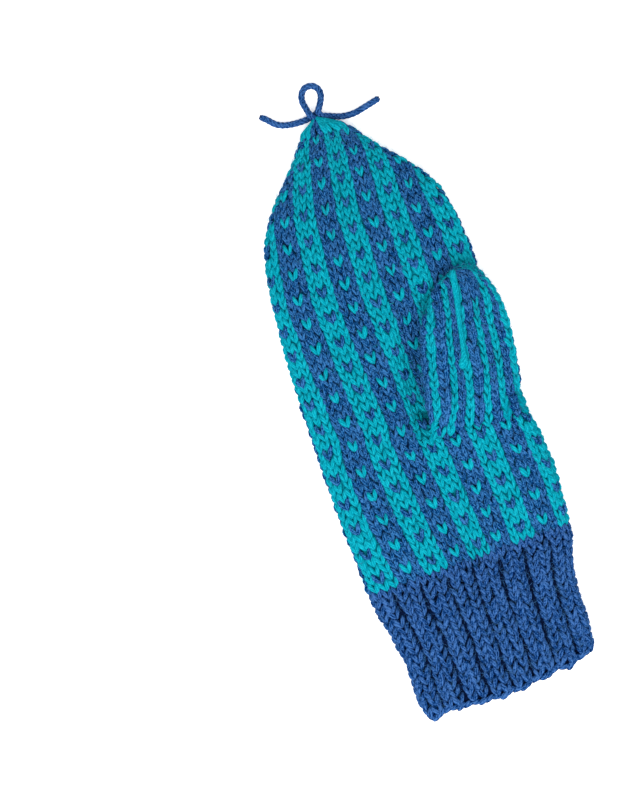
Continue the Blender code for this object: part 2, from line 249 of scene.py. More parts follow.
# dark, middle and light
TEAL = ((0.000, 0.190, 0.262, 1), (0.000, 0.252, 0.338, 1), (0.006, 0.378, 0.472, 1))
BLUE = ((0.000, 0.006, 0.064, 1), (0.000, 0.049, 0.162, 1), (0.036, 0.156, 0.385, 1))
CUFF_BLUE = ((0.000, 0.003, 0.042, 1), (0.001, 0.034, 0.143, 1), (0.044, 0.130, 0.350, 1))
teal_wool = wool("teal wool", *TEAL, uneven=0.9)
blue_wool = wool("blue wool", *BLUE, uneven=1.3)
# the cuff's strands get more painted shade at their sides (body) and fainter plies (spun)
cuff_wool = wool("cuff wool", *CUFF_BLUE, uneven=1.10, spun=0.40, body=0.70)
print("wools:", teal_wool.name, blue_wool.name, cuff_wool.name)

# %% [markdown]
# ## Beads and strands
#
# A stitch shows as two plump legs of yarn, and a strand is the same thing drawn out long. Curves with a
# round bevel could make both, but thousands of them are slow, and they don't carry the two maps that the
# wool needs. So one function makes all the strands of a piece as a single mesh: it takes their middle lines
# at once, with the direction that faces out of the cloth, and skins each with rings of vertices. Working on
# whole arrays keeps some seven thousand legs to a few seconds.


# %% Many strands as one mesh
def unit(vectors):
    """The vectors at length one."""
    return vectors / np.maximum(np.linalg.norm(vectors, axis=-1, keepdims=True), 1e-12)


FLOOR_GAP = 0.0001


def make_mesh(name, points, faces, corners, material, strand, tone):
    """A smooth mesh from arrays of vertices and of face corners, with its two maps."""
    mesh = bpy.data.meshes.new(name)
    points = np.stack([points[:, 0], points[:, 1], np.maximum(points[:, 2], FLOOR_GAP)], axis=1)
    mesh.vertices.add(len(points))
    mesh.vertices.foreach_set("co", points.astype(np.float32).ravel())
    mesh.loops.add(len(corners))
    mesh.loops.foreach_set("vertex_index", corners.astype(np.int32))
    mesh.polygons.add(len(faces))
    mesh.polygons.foreach_set("loop_start", faces.astype(np.int32))
    mesh.update(calc_edges=True)
    for label, values in (("strand", strand), ("tone", tone)):
        layer = mesh.uv_layers.new(name=label)
        layer.data.foreach_set("uv", values.astype(np.float32).ravel())
    mesh.shade_smooth()
    mesh.materials.append(material)
    piece = bpy.data.objects.new(name, mesh)
    bpy.context.scene.collection.objects.link(piece)
    return piece


def strands(name, middle, out, wide, high, material, tone, sides=8, ends=True):
    """One mesh of many round strands. Middle and out are (strand, step, 3), wide and high (strand, step).

    With ends, the tone map's second value runs from 0 to 1 along each strand, and else it stays at a half.
    """
    count, steps = middle.shape[:2]
    ahead = unit(np.gradient(middle, axis=1))
    across = unit(np.cross(ahead, out))
    up = np.cross(across, ahead)
    turn = np.arange(sides) * 2 * math.pi / sides
    ring = across[:, :, None] * np.cos(turn)[:, None] * wide[..., None, None]
    ring = ring + up[:, :, None] * np.sin(turn)[:, None] * high[..., None, None]
    points = (middle[:, :, None] + ring).reshape(-1, 3)
    gone = np.linalg.norm(np.diff(middle, axis=1), axis=2).cumsum(axis=1) * 1000
    gone = np.concatenate([np.zeros((count, 1)), gone], axis=1)

    n, i, j = np.meshgrid(np.arange(count), np.arange(steps - 1), np.arange(sides), indexing="ij")
    base = n * steps * sides
    quads = [base + (i + a) * sides + (j + b) % sides for a, b in ((0, 0), (1, 0), (1, 1), (0, 1))]
    quads = np.stack(quads, axis=-1).reshape(-1, 4)
    around = [(j + b) / sides for b in (0, 0, 1, 1)]
    along = [gone[n, i + a] for a in (0, 1, 1, 0)]
    quad_map = np.stack([np.stack(around, -1), np.stack(along, -1)], axis=-1).reshape(-1, 2)

    first = np.arange(count)[:, None] * steps * sides + np.arange(sides)
    caps = np.concatenate([first, first[:, ::-1] + (steps - 1) * sides])
    cap_map = np.concatenate([np.zeros(count), gone[:, -1]])[:, None, None] * np.array([0, 1.0])
    cap_map = np.repeat(cap_map, sides, axis=1).reshape(-1, 2)

    corners = np.concatenate([quads.ravel(), caps.ravel()])
    starts = np.arange(len(quads)) * 4
    faces = np.concatenate([starts, quads.size + np.arange(len(caps)) * sides])
    owner = np.concatenate([np.repeat(n.ravel(), 4), np.repeat(np.tile(np.arange(count), 2), sides)])
    shares = np.stack([(i + a) / (steps - 1) for a in (0, 1, 1, 0)], -1).ravel()
    shares = np.concatenate([shares, np.zeros(count * sides), np.ones(count * sides)])
    tones = np.stack([tone[owner], shares if ends else np.full(len(owner), 0.5)], axis=1)
    return make_mesh(name, points, faces, corners, material, np.concatenate([quad_map, cap_map]), tones)


# %% [markdown]
# ## Plied yarn
#
# A yarn that is seen by itself is laid along a route, which is a short table of places with a smooth curve
# drawn through them. It is plied up from a few thin strands that wind round the curve, as in real yarn,
# because a plain tube with a bump shows a smooth edge.

# %% A smooth line through a route
PER_SPAN = 24
LINE_STEP = 0.0005


def smooth_line(route):
    """Evenly spaced points on a curve through the points of a route, and its length."""
    points = np.array(route, float)
    ends = np.concatenate([[2 * points[0] - points[1]], points, [2 * points[-1] - points[-2]]])
    line = []
    for a, b, c, d in zip(ends, ends[1:], ends[2:], ends[3:]):
        for t in np.linspace(0, 1, PER_SPAN, endpoint=False):
            bend = (2 * a - 5 * b + 4 * c - d) * t * t + (3 * b - a - 3 * c + d) * t**3
            line.append(b + ((c - a) * t + bend) / 2)
    line = np.array([*line, points[-1]])
    gone = np.concatenate([[0], np.cumsum(np.linalg.norm(np.diff(line, axis=0), axis=1))])
    count = round(gone[-1] / LINE_STEP) + 1
    at = np.linspace(0, gone[-1], count)
    return np.stack([np.interp(at, gone, line[:, k]) for k in range(3)], axis=1), gone[-1]


# %% A strand plied from thinner ones
def carried_frames(line):
    """Two directions square to a line at each point, carried along without twisting."""
    ahead = unit(np.gradient(line, axis=0))
    side = unit(np.cross(ahead[0], (0.0, 0.0, 1.0)))
    sides = []
    for direction in ahead:
        side = unit(side - direction * (side @ direction))
        sides.append(side)
    sides = np.array(sides)
    return sides, np.cross(ahead, sides)


# shares of the yarn's diameter: how far out a ply's middle lies, its own half, and how long its end tapers
PLY_OUT, PLY_HALF, PLY_TAPER = 0.25, 0.27, 0.35
PLY_END = 0.35
PLY_TONE = 0.55


def plied(name, line, diameter, material, plies=4, lead=0.0085):
    """A yarn of plies wound round a line of points."""
    side, other = carried_frames(line)
    diameter = diameter * np.ones(len(line))
    gone = np.concatenate([[0], np.cumsum(np.linalg.norm(np.diff(line, axis=0), axis=1))])
    turn = gone / lead * 2 * math.pi
    middle, out = [], []
    for k in range(plies):
        angle = (turn + k * 2 * math.pi / plies)[:, None]
        away = side * np.cos(angle) + other * np.sin(angle)
        middle.append(line + away * diameter[:, None] * PLY_OUT)
        out.append(away)
    to_end = np.minimum(gone, gone[-1] - gone)
    thick = diameter * PLY_HALF * np.clip(to_end / (diameter * PLY_TAPER), PLY_END, 1)
    thick = np.tile(thick, (plies, 1))
    tone = np.full(plies, PLY_TONE)
    return strands(name, np.array(middle), np.array(out), thick, thick, material, tone, ends=False)


# %% [markdown]
# ## Reading the skin of a solid
#
# The stitches have to follow every fold and dent of the solids. A Shrinkwrap modifier could press them on,
# but it would squash their round strands, so the skin is read first and each stitch is built where it
# belongs. For each row of knitting, rays are cast from all round towards the middle of the solid's slice
# there, and the first hits are the skin. The hits are then spaced evenly along the slice, so a place in the
# knitting is only two numbers: how far up, and what share of the way round. Round starts at the left side,
# goes over the palm to the right side and back underneath. Past its last slice the skin runs on straight.
# Where the palm has its hole for the thumb, the slices are bridged.


# %% Skin of a solid as a grid
class Skin:
    """The outside of a solid, read in slices across the mitten's length."""

    # rays round a slice, how boxy their ring is, how far out they start in half widths, and over how many
    # slices the slope is measured by which the skin runs on
    ROUND = 360
    SQUARED = 0.8
    RAY_START = 1.6
    RUN_ON = 4

    def __init__(self, node, rows, tilt=None, middle_x=0.0, bridged=None):
        mesh = frame["nodes"][node].data
        corners = np.array([v.co for v in mesh.vertices], float)
        edges = np.array([e.vertices for e in mesh.edges])
        self.tree = BVHTree.FromPolygons(corners.tolist(), [tuple(p.vertices) for p in mesh.polygons])
        self.rows = np.array(rows, float)
        tilts = np.zeros(len(rows)) if tilt is None else np.array([tilt(y) for y in rows])
        turn = np.linspace(math.pi, -math.pi, self.ROUND, endpoint=False)
        flat = np.sign(np.cos(turn)) * np.abs(np.cos(turn)) ** self.SQUARED
        tall = np.sign(np.sin(turn)) * np.abs(np.sin(turn)) ** self.SQUARED
        raw = np.full((len(rows), self.ROUND, 3), np.nan)
        for k, (y, slope) in enumerate(zip(self.rows, tilts)):
            height = corners[:, 1] - slope * (corners[:, 0] - middle_x) - y
            a, b = height[edges[:, 0]], height[edges[:, 1]]
            cut = a * b < 0
            share = (a[cut] / (a[cut] - b[cut]))[:, None]
            hits = corners[edges[cut, 0]] * (1 - share) + corners[edges[cut, 1]] * share
            low, high = hits.min(axis=0), hits.max(axis=0)
            centre, half = (low + high) / 2, (high - low) / 2
            centre[1] = y + slope * (centre[0] - middle_x)
            for j in range(self.ROUND):
                step = np.array([half[0] * flat[j], slope * half[0] * flat[j], half[2] * tall[j]])
                start = centre + self.RAY_START * step
                hit = self.tree.ray_cast(Vector(start), Vector(-step))[0]
                if hit is not None and (np.array(hit) - centre) @ step > 0:
                    raw[k, j] = hit
        if bridged:
            raw[(self.rows > bridged[0]) & (self.rows < bridged[1]), : self.ROUND // 2] = np.nan
        for j in range(self.ROUND):
            good = ~np.isnan(raw[:, j, 0])
            for axis in range(3):
                raw[:, j, axis] = np.interp(self.rows, self.rows[good], raw[good, j, axis])
        self.spread(raw)

    def spread(self, raw):
        """Spaces each slice evenly and works out which way is out."""
        closed = np.concatenate([raw, raw[:, :1]], axis=1)
        gone = np.linalg.norm(np.diff(closed, axis=1), axis=2).cumsum(axis=1)
        gone = np.concatenate([np.zeros((len(raw), 1)), gone], axis=1)
        self.length = gone[:, -1]
        self.right = gone[:, self.ROUND // 2] / self.length
        even = np.linspace(0, 1, self.ROUND, endpoint=False)
        self.points = np.stack(
            [
                np.stack([np.interp(even * g[-1], g, c[:, k]) for k in range(3)], axis=1)
                for g, c in zip(gone, closed)
            ]
        )
        side = np.roll(self.points, -3, axis=1) - np.roll(self.points, 3, axis=1)
        ahead = np.gradient(self.points, axis=0)
        out = unit(np.cross(side, ahead))
        for _ in range(2):
            out = unit(out + 0.5 * np.roll(out, 1, axis=1) + 0.5 * np.roll(out, -1, axis=1))
            out[1:-1] = unit(2 * out[1:-1] + out[:-2] + out[2:])
        self.out = out

    def read(self, table, y, share):
        """Values of a grid at places y and shares of the way round."""
        row = (y - self.rows[0]) / (self.rows[1] - self.rows[0])
        i = np.clip(np.floor(row).astype(int), 0, len(self.rows) - 2)
        t = (row - i)[..., None]
        column = (share % 1) * self.ROUND
        j = column.astype(int) % self.ROUND
        k = (j + 1) % self.ROUND
        u = (column - np.floor(column))[..., None]
        first = table[i, j] * (1 - u) + table[i, k] * u
        second = table[i + 1, j] * (1 - u) + table[i + 1, k] * u
        far = np.minimum(i + self.RUN_ON, len(table) - 1)
        third = table[far, j] * (1 - u) + table[far, k] * u
        return np.where(t < 0, first + (third - first) * t / self.RUN_ON, first * (1 - t) + second * t)

    def place(self, y, share, rise=0.0):
        """Points on the skin, or above it by rise, with the way out at each."""
        out = unit(self.read(self.out, y, share))
        return self.read(self.points, y, share) + out * np.asarray(rise)[..., None], out

    def along_rows(self, values, y):
        """A value kept for each slice, at places y."""
        return np.interp(y, self.rows, values)

    def share_on_top(self, x, y):
        """The share of the way round at which the upper side has a place."""
        row = np.clip((y - self.rows[0]) / (self.rows[1] - self.rows[0]), 0, len(self.rows) - 1.001)
        i = int(row)
        points = self.points[i] * (1 - row + i) + self.points[i + 1] * (row - i)
        upper = np.maximum.accumulate(points[: int(self.right[i] * self.ROUND), 0])
        return np.interp(x, upper, np.arange(len(upper))) / self.ROUND

    def share_at(self, x):
        """The share of the way round at which each slice's upper side has these X places."""
        shares = []
        for points, right, want in zip(self.points, self.right, x):
            upper = np.maximum.accumulate(points[: int(right * self.ROUND), 0])
            shares.append(np.interp(want, upper, np.arange(len(upper))) / self.ROUND)
        return np.array(shares)


# %% [markdown]
# ## Where the rows and columns go
#
# The hand has 54 columns round, 27 on the palm, in stripes of three. They drift a little to the left on the
# way up and back again towards the tip, as the mitten was pulled when it was laid down. The palm's left
# columns are also pushed to the right, most near the cuff, which draws them in. Above the fingers' knuckles
# the sides are decreased: the columns in the middle go on to the tip and those at the sides end at a
# slanting edge. Short tables read off the photograph say how much, and a place between two of their lines
# is worked out from both.

# %% Layout of the hand
BOTTOM, JOIN, TIP = -0.1325, -0.0717, 0.1325
TIP_X = -0.0025
HAND_COLUMNS = 54
PALM_COLUMNS = HAND_COLUMNS // 2
PALM_MIDDLE, BACK_MIDDLE = 13.5, 40.5
HAND_ROWS = 53
HAND_ROW = 0.0038
DECREASE = 0.078
HOLE_FRONT, HOLE_BACK = -0.0165, -0.0075
ROWS_UP = (
    # row, place along the mitten
    (-2.0, -0.0793),
    (0.0, -0.0717),
    (46.5, 0.1055),
    (55.0, 0.1325),
    (56.0, 0.1357),
)
DRIFT = (
    # place along the mitten, X place of the palm's middle column
    (-0.0717, 0.0040),
    (-0.0660, 0.0034),
    (-0.0220, 0.0002),
    (0.0030, -0.0020),
    (0.0200, -0.0022),
    (0.0570, -0.0042),
    (0.0900, -0.0030),
    (0.1170, 0.0002),
    (0.1325, 0.0015),
)
PUSH_MM = (
    # place along the mitten, push to the right in millimetres
    (-0.0717, 3.9),
    (-0.0540, 2.9),
    (-0.0425, 2.3),
    (-0.0310, 1.8),
    (-0.0210, 1.0),
    (0.0030, 0.8),
    (0.0600, 0.8),
    (0.0900, 0.0),
)
PUSHED = (
    # column, its share of the push
    (0.0, 0.0),
    (4.5, 1.0),
    (10.5, 1.0),
    (14.0, 0.45),
    (16.5, 0.08),
    (27.0, 0.0),
)
NARROWING = (
    # place along the mitten, width of a column there against the width at the decreases
    (0.0780, 1.00),
    (0.1000, 0.92),
    (0.1170, 0.79),
    (0.1325, 0.62),
)


def looked_up(table, value):
    """The second column of a table where the first has this value."""
    return np.interp(value, *zip(*table))


def row_y(row):
    """How far along the mitten a row of the hand lies. The rows are closer together near the tip."""
    return looked_up(ROWS_UP, row)


def row_at(y):
    """The row of the hand at a place along the mitten."""
    rows, along = zip(*ROWS_UP)
    return np.interp(y, along, rows)


def ease(t):
    """From 0 to 1 without a corner."""
    t = np.clip(t, 0, 1)
    return t * t * (3 - 2 * t)


HAND_SLOPE, SLOPE_FADES = 0.035, 0.06


def hand_tilt(y):
    """Slope of a row across the hand, which fades out above the cuff."""
    return HAND_SLOPE * (1 - ease((y - JOIN) / SLOPE_FADES))


SLICES = 156
hand_rows = np.linspace(JOIN + 0.0004, TIP - 0.0008, SLICES)
hand_skin = Skin("hand", hand_rows, hand_tilt, bridged=(HOLE_FRONT - 0.0003, HOLE_BACK + 0.0025))
drift = hand_skin.share_at(looked_up(DRIFT, hand_skin.rows))
widest = hand_skin.along_rows(hand_skin.length, DECREASE) / HAND_COLUMNS
print("round the hand:", round(hand_skin.along_rows(hand_skin.length, HOLE_FRONT) * 1000), "mm")

# the back's columns turn to the middle of the back over this stretch
BACK_TURNS, BACK_TURNED = 0.050, 0.085


def hand_place(column, row, rise, back=False):
    """A place in the knitting of the palm, or of the back, which may run past that side's edge."""
    y = row_y(row)
    around = hand_skin.along_rows(hand_skin.length, y)
    share = np.where(y < DECREASE, 1 / HAND_COLUMNS, widest * looked_up(NARROWING, y) / around)
    right = hand_skin.along_rows(hand_skin.right, y)
    at = hand_skin.along_rows(drift, y)
    if back:
        turned = ease((y - BACK_TURNS) / (BACK_TURNED - BACK_TURNS))
        at = (at + 0.5) * (1 - turned) + (right + 1) / 2 * turned
    else:
        at = at + looked_up(PUSH_MM, y) * looked_up(PUSHED, column) / around / 1000
    at = at + (column - (BACK_MIDDLE if back else PALM_MIDDLE)) * share
    return *hand_skin.place(y, at, rise), at, right, share


# %% [markdown]
# ## One leg of a stitch
#
# In plain knitting each stitch is a V: two legs of yarn that rise from one point and lean apart, and the
# next stitch up sits between their tops. A leg is thin where it comes out of the stitch below, plump in its
# middle and dives under at its top. Its middle line is given by a short table in columns across and rows
# up, so the same leg fits the hand, the thumb and the cuff's ribs, and follows the skin wherever it is put.
#
# Hand knitting is never even. The columns waver, and every stitch and each of its legs is a little off its
# place, its height and its thickness, by random amounts that were set against the photograph.

# %% The leg's shape
LEG_SHAPE = (
    # up in rows, across in columns, rise in strand widths, thickness
    (-0.24, 0.01, -0.30, 0.34),
    (0.00, 0.08, 0.06, 0.64),
    (0.30, 0.185, 0.22, 0.94),
    (0.66, 0.30, 0.20, 1.04),
    (1.00, 0.39, -0.04, 0.88),
    (1.28, 0.45, -0.56, 0.44),
)
UP, ACROSS, RISE, THICK = np.array(LEG_SHAPE).T
print("a leg is", round(UP[-1] - UP[0], 2), "rows long")
LEG_MIDDLE = 0.26
LEG_SUNK = 0.42
WAVER_ACROSS, WAVER_UP = 0.028, 0.035
STITCH_OFF = 0.035
LEG_OFF_ACROSS, LEG_OFF_UP, LEG_OFF_THICK = 0.12, 0.07, 0.10
LEG_OFF_HEIGHT = 0.00016
LEG_TALL = 1.1
rng = np.random.default_rng(27)


def waver(column, row, size):
    """A slow wavering of hand knitting, which differs from column to column."""
    turn = column * 2.4
    waves = ((0.55, 1.7), (0.23, 3.1), (1.3, 1.0))  # pace up the rows, start
    return size * sum(np.sin(row * pace + turn * start) for pace, start in waves)


def legs(name, place, stitches, strand, material, spread=1.0, fat=1.0, proud=0.0, skew=0.0):
    """The two legs of each (column, row) stitch as one mesh.

    Spread and fat widen the stitch and its yarn, proud lifts it, and skew makes one leg lean more than the
    other.
    """
    stitches = np.array(stitches, float)
    column = np.repeat(stitches[:, 0], 2)[:, None]
    row = np.repeat(stitches[:, 1], 2)[:, None]
    side = np.tile([-1.0, 1.0], len(stitches))[:, None]
    shift = rng.normal(0, STITCH_OFF, (len(stitches), 2)).repeat(2, axis=0)
    spread = np.broadcast_to(spread, (len(stitches), 2)).reshape(-1, 1)
    each = (len(column), 1)
    lean = LEG_MIDDLE + (ACROSS - LEG_MIDDLE) * (1 + skew * side)
    across = lean * side * spread * rng.normal(1, LEG_OFF_ACROSS, each)
    at_column = column + 0.5 + across + (shift[:, :1] + waver(column, row, WAVER_ACROSS)) * spread
    up = UP + shift[:, 1:] + waver(column + 40, row, WAVER_UP) + rng.normal(0, LEG_OFF_UP, each)
    lift = ((RISE - LEG_SUNK) * strand + proud) + rng.normal(0, LEG_OFF_HEIGHT, each)
    centre, out = place(at_column, row + up, lift)[:2]
    edge = place(np.stack([column[:, 0] + 0.1, column[:, 0] + 0.9]), row[:, 0] + 0.5, 0.0)[0]
    pitch = np.linalg.norm(edge[1] - edge[0], axis=-1) / 0.8
    half = np.minimum(strand * 0.5, pitch * 0.25)[:, None] * THICK * rng.normal(1, LEG_OFF_THICK, each)
    tone = np.repeat(rng.uniform(0, 1, len(stitches)), 2) * 0.6 + rng.uniform(0, 0.4, len(column))
    strands(name, centre, out, half * fat, half * LEG_TALL, material, tone)


# %% [markdown]
# ## The striped hand
#
# Stripes of three columns run up the hand, and in the middle of each one a stitch of the other colour sits
# every third row. A picture of knitting could be wrapped round the solid, but it would be flat at the
# outline and wherever light rakes over it, so every stitch is a real one. The pattern is charted by rule:
# the colour of a stitch follows from its column and row. The dots are knitted from the yarn that is carried
# behind, so they lie a little broader and prouder than the rest. A round in the cuff's blue comes before
# the stripes begin.

# %% Chart of the hand
THUMB_FIRST, THUMB_LAST = 14, 25
STRAND = 0.00225
SPARE_AT_EDGE = 4
ROOM_AT_EDGE = 0.75
ROWS_BEFORE_HOLE, ROWS_BEHIND_HOLE = 0.4, 0.2


def is_teal(column, row):
    """The chart: stripes of three with a dot of the other colour in each one's middle column."""
    teal = (column // 3) % 2 == 0
    return teal != is_dot(column, row)


def is_dot(column, row):
    """Whether a stitch is the dot in the middle of its stripe."""
    return column % 3 == 1 and row % 3 == 1


for row in (2, 1, 0):
    print("chart:", " ".join("T" if is_teal(column, row) else "b" for column in range(12)))


def in_hole(column, row):
    """Whether a palm stitch lies where the thumb's hole is."""
    y = row_y(row)
    low, high = HOLE_FRONT - HAND_ROW * ROWS_BEFORE_HOLE, HOLE_BACK + HAND_ROW * ROWS_BEHIND_HOLE
    return THUMB_FIRST <= column < THUMB_LAST and low < y < high


def hand_stitches(back):
    """Every stitch of one side of the hand, without those at the thumb's hole."""
    found = []
    for row in range(HAND_ROWS):
        decreased = row_y(row) > DECREASE
        spare = SPARE_AT_EDGE if decreased else 0
        first = PALM_COLUMNS if back else 0
        for column in range(first - spare, first + PALM_COLUMNS + spare):
            _, _, at, right, share = hand_place(column + 0.5, row + np.array([0.5]), 0.0, back)
            low, high = (right[0], 1) if back else (0, right[0])
            room = share[0] * ROOM_AT_EDGE
            if decreased and not low + room < at[0] < high - room:
                continue
            if back or not in_hole(column, row):
                found.append((column, row))
    return found


# %% Knit the hand
GROUND = {"fat": 1.03}
DOTS = {"spread": 1.25, "fat": 1.12, "proud": 0.0004}
SIDES = {"palm": False, "back": True}


def knit_side(side):
    """The stitches of one side of the hand, as four pieces: each colour in the ground and in the dots."""
    back = SIDES[side]
    place = partial(hand_place, back=back)
    for colour, material in (("teal", teal_wool), ("blue", blue_wool)):
        ours = [s for s in hand_stitches(back) if is_teal(s[0] % HAND_COLUMNS, s[1]) == (colour == "teal")]
        ground = [s for s in ours if not is_dot(*s)]
        dots = [s for s in ours if is_dot(*s)]
        legs(f"{side}_{colour}_stitches", place, ground, STRAND, material, **GROUND)
        legs(f"{side}_{colour}_dots", place, dots, STRAND, material, **DOTS)
        print(side, colour, "stitches:", len(ground), "and", len(dots), "dots")


for side in SIDES:
    knit_side(side)
for side, back in SIDES.items():
    first_round = [(column + PALM_COLUMNS * back, -1) for column in range(PALM_COLUMNS)]
    legs(f"first_round_{side}", partial(hand_place, back=back), first_round, STRAND, cuff_wool)
    print(side, "first round:", len(first_round), "stitches")

# %% [markdown]
# ## The edge of the decreases
#
# Where the sides are drawn in, the last column on each side runs along the slanting edge and covers the
# ends of the columns that stop there, two stitches in one colour and two in the other. It is placed along
# the side of the skin and not by the hand's own columns, because it crosses them.


# %% Edge columns
EDGE_FROM = DECREASE - 0.004
EDGE_ROWS, EDGE_ROW = 17, 0.0033
EDGE_WIDTH = 0.0036


def edge_place(column, row, rise, side):
    """A place in the column that runs up one side of the hand."""
    y = EDGE_FROM + row * EDGE_ROW
    right = hand_skin.along_rows(hand_skin.right, y)
    share = EDGE_WIDTH / hand_skin.along_rows(hand_skin.length, y)
    at = (right if side == "right" else 0 * right) + (column - 0.5) * share
    return hand_skin.place(y, at, rise)


for side in ("left", "right"):
    for colour, material in (("teal", teal_wool), ("blue", blue_wool)):
        rows = [(0, row) for row in range(EDGE_ROWS) if ((row // 2) % 2 == 0) == (colour == "teal")]
        legs(f"{side}_edge_{colour}", partial(edge_place, side=side), rows, STRAND, material)
        print(side, "edge,", colour, "stitches:", len(rows))

# %% [markdown]
# ## The thumb
#
# The thumb is knitted from the palm's own stitches, in stripes one stitch wide, so its columns carry
# straight on from the palm, twelve on its face and twelve on its back. A first table moves the face's
# columns to where the photograph has them. Near the tip the thumb is decreased, and its columns lean to the
# right: some end at its right edge while spare ones come in from its left edge. One teal column ends where
# two blue ones meet, and the two teal ones at the right edge are pulled broad.

# %% Layout of the thumb
THUMB_TIP = 0.0528
THUMB_COLUMNS = 12
THUMB_ROWS = 17
THUMB_ROW = (THUMB_TIP - HOLE_FRONT) / THUMB_ROWS
THUMB_NARROWS = 0.030
THUMB_SHIFT_MM = (
    # column, shift to the right
    (0.0, 1.5),
    (1.5, 2.1),
    (2.5, 3.1),
    (3.5, 3.4),
    (4.5, 2.2),
    (5.5, 1.4),
    (6.5, 1.7),
    (7.5, 1.9),
    (8.5, 0.6),
    (9.5, -0.2),
    (11.5, -0.8),
    (12.5, -0.3),
    (14.0, 0.0),
)
SHIFT_GROWS = 0.022
THUMB_LEAN_MM = (
    # column, how far it leans to the right by the tip
    (0.0, 7.5),
    (6.0, 7.5),
    (7.5, 6.6),
    (9.5, 5.2),
    (10.5, 3.8),
    (11.5, 2.2),
    (12.5, 1.0),
    (14.0, 0.0),
)
LEAN_FROM, LEAN_TO, LEAN_BEND = 0.0285, 0.0480, 1.2
ENDED_COLUMN, ENDED_AT = 7, 0.034
BROAD_FROM = {9: 0.022, 11: 0.004}
thumb_skin = Skin("thumb", np.linspace(HOLE_FRONT + 0.0075, THUMB_TIP - 0.0012, 61))
widest_thumb = thumb_skin.along_rows(thumb_skin.length * thumb_skin.right, THUMB_NARROWS) / THUMB_COLUMNS
print("thumb:", THUMB_ROWS, "rows of", round(THUMB_ROW * 1000, 1), "mm")


def thumb_moved(column, y):
    """How far to the right a column of the thumb is pushed, most near its tip."""
    shift = looked_up(THUMB_SHIFT_MM, column) * ease((y - HOLE_FRONT) / SHIFT_GROWS)
    lean = np.clip((y - LEAN_FROM) / (LEAN_TO - LEAN_FROM), 0, 1) ** LEAN_BEND
    return (shift + looked_up(THUMB_LEAN_MM, column) * lean) / 1000


def thumb_y(row):
    """How far along the mitten a row of the thumb lies."""
    return HOLE_FRONT + row * THUMB_ROW


def thumb_place(column, row, rise):
    """A place in the thumb's knitting. Columns 0 to 12 are on its face and 12 to 24 on its back."""
    y = thumb_y(row)
    right = thumb_skin.along_rows(thumb_skin.right, y)
    around = thumb_skin.along_rows(thumb_skin.length, y)
    face = np.where(y < THUMB_NARROWS, right / THUMB_COLUMNS, widest_thumb / around)
    behind = np.where(y < THUMB_NARROWS, (1 - right) / THUMB_COLUMNS, widest_thumb / around)
    at = right + (column - THUMB_COLUMNS) * np.where(column <= THUMB_COLUMNS, face, behind)
    at = at + thumb_moved(column, y) / around
    return *thumb_skin.place(y, at, rise), at, right, face


# %% Knit the thumb
SPARE_COLUMNS = 3
BACK_FROM_ROW = 3
ROOM_AT_SIDE = 0.3


def thumb_stitches():
    """The stitches that lie on the thumb. The back has none in its first rows, which are in the hole."""
    found = []
    for row in range(THUMB_ROWS):
        for column in range(-SPARE_COLUMNS, 2 * THUMB_COLUMNS):
            _, _, at, _, share = thumb_place(column + 0.5, row + np.array([0.5]), 0.0)
            room = share[0] * ROOM_AT_SIDE
            on_face = column < THUMB_COLUMNS and at[0] > room
            on_back = column >= THUMB_COLUMNS and row >= BACK_FROM_ROW and at[0] < 1 - room
            if on_face or on_back:
                found.append((column, row))
    return found


def is_thumb_teal(column, row):
    """Every other column is teal, but for the end of one of them."""
    return column % 2 == 1 and not (column == ENDED_COLUMN and thumb_y(row) > ENDED_AT)


def is_broad(column, row):
    """Whether a stitch is in one of the two columns that are pulled broad towards the tip."""
    return thumb_y(row) > BROAD_FROM.get(column, math.inf)


THUMB_LOOKS = {
    "broad": {"spread": 1.4, "fat": 1.3, "proud": 0.0003},
    "teal": {"fat": 1.0, "proud": -0.0001},
    "blue": {"fat": 1.2, "proud": 0.0002},
    "behind": {"proud": -0.0004},
}


def knit_thumb():
    """The thumb in its two colours, every other column in each."""
    stitches = thumb_stitches()
    broad = [s for s in stitches if is_broad(*s)]
    legs("thumb_broad_stitches", thumb_place, broad, STRAND, teal_wool, **THUMB_LOOKS["broad"])
    for colour, material in (("teal", teal_wool), ("blue", blue_wool)):
        ours = [s for s in stitches if is_thumb_teal(*s) == (colour == "teal") and s not in broad]
        face = [s for s in ours if s[0] < THUMB_COLUMNS]
        behind = [s for s in ours if s[0] >= THUMB_COLUMNS]
        name = f"thumb_{colour}_stitches"
        legs(name, thumb_place, face, STRAND, material, **THUMB_LOOKS[colour])
        legs(f"{name}_behind", thumb_place, behind, STRAND, material, **THUMB_LOOKS["behind"])
        print("thumb", colour, "stitches:", len(ours))


knit_thumb()

# %% [markdown]
# ## The woven-in end
#
# Where the thumb was finished, the yarn's end was threaded down over the face of the thumb. It lies on top
# of a column as a smooth, unlooped strand, thick where it is loose and thin where it is drawn tight, and
# ends in a small turn where it goes back in. It could be knitted as another column of legs, but it shows no
# loops, so it is one plied strand. Its route is laid over the thumb's skin, sunk in at both ends.

# %% Woven-in end
WOVEN_ROUTE_MM = (
    (32.6, 51.3),
    (31.9, 48.5),
    (31.1, 43.5),
    (30.2, 38.0),
    (28.6, 31.0),
    (27.5, 24.5),
    (26.2, 17.5),
    (25.2, 13.0),
    (24.0, 10.9),
    (22.6, 9.8),
)
WOVEN_RISE_MM = ((0.00, -1.2), (0.03, 0.4), (0.95, 0.4), (1.00, -2.0))
WOVEN_THICK_MM = (
    # share of its length, thickness
    (0.00, 2.4),
    (0.08, 2.9),
    (0.25, 2.9),
    (0.50, 2.3),
    (0.80, 2.3),
    (0.88, 3.0),
    (0.95, 4.6),
    (1.00, 3.2),
)


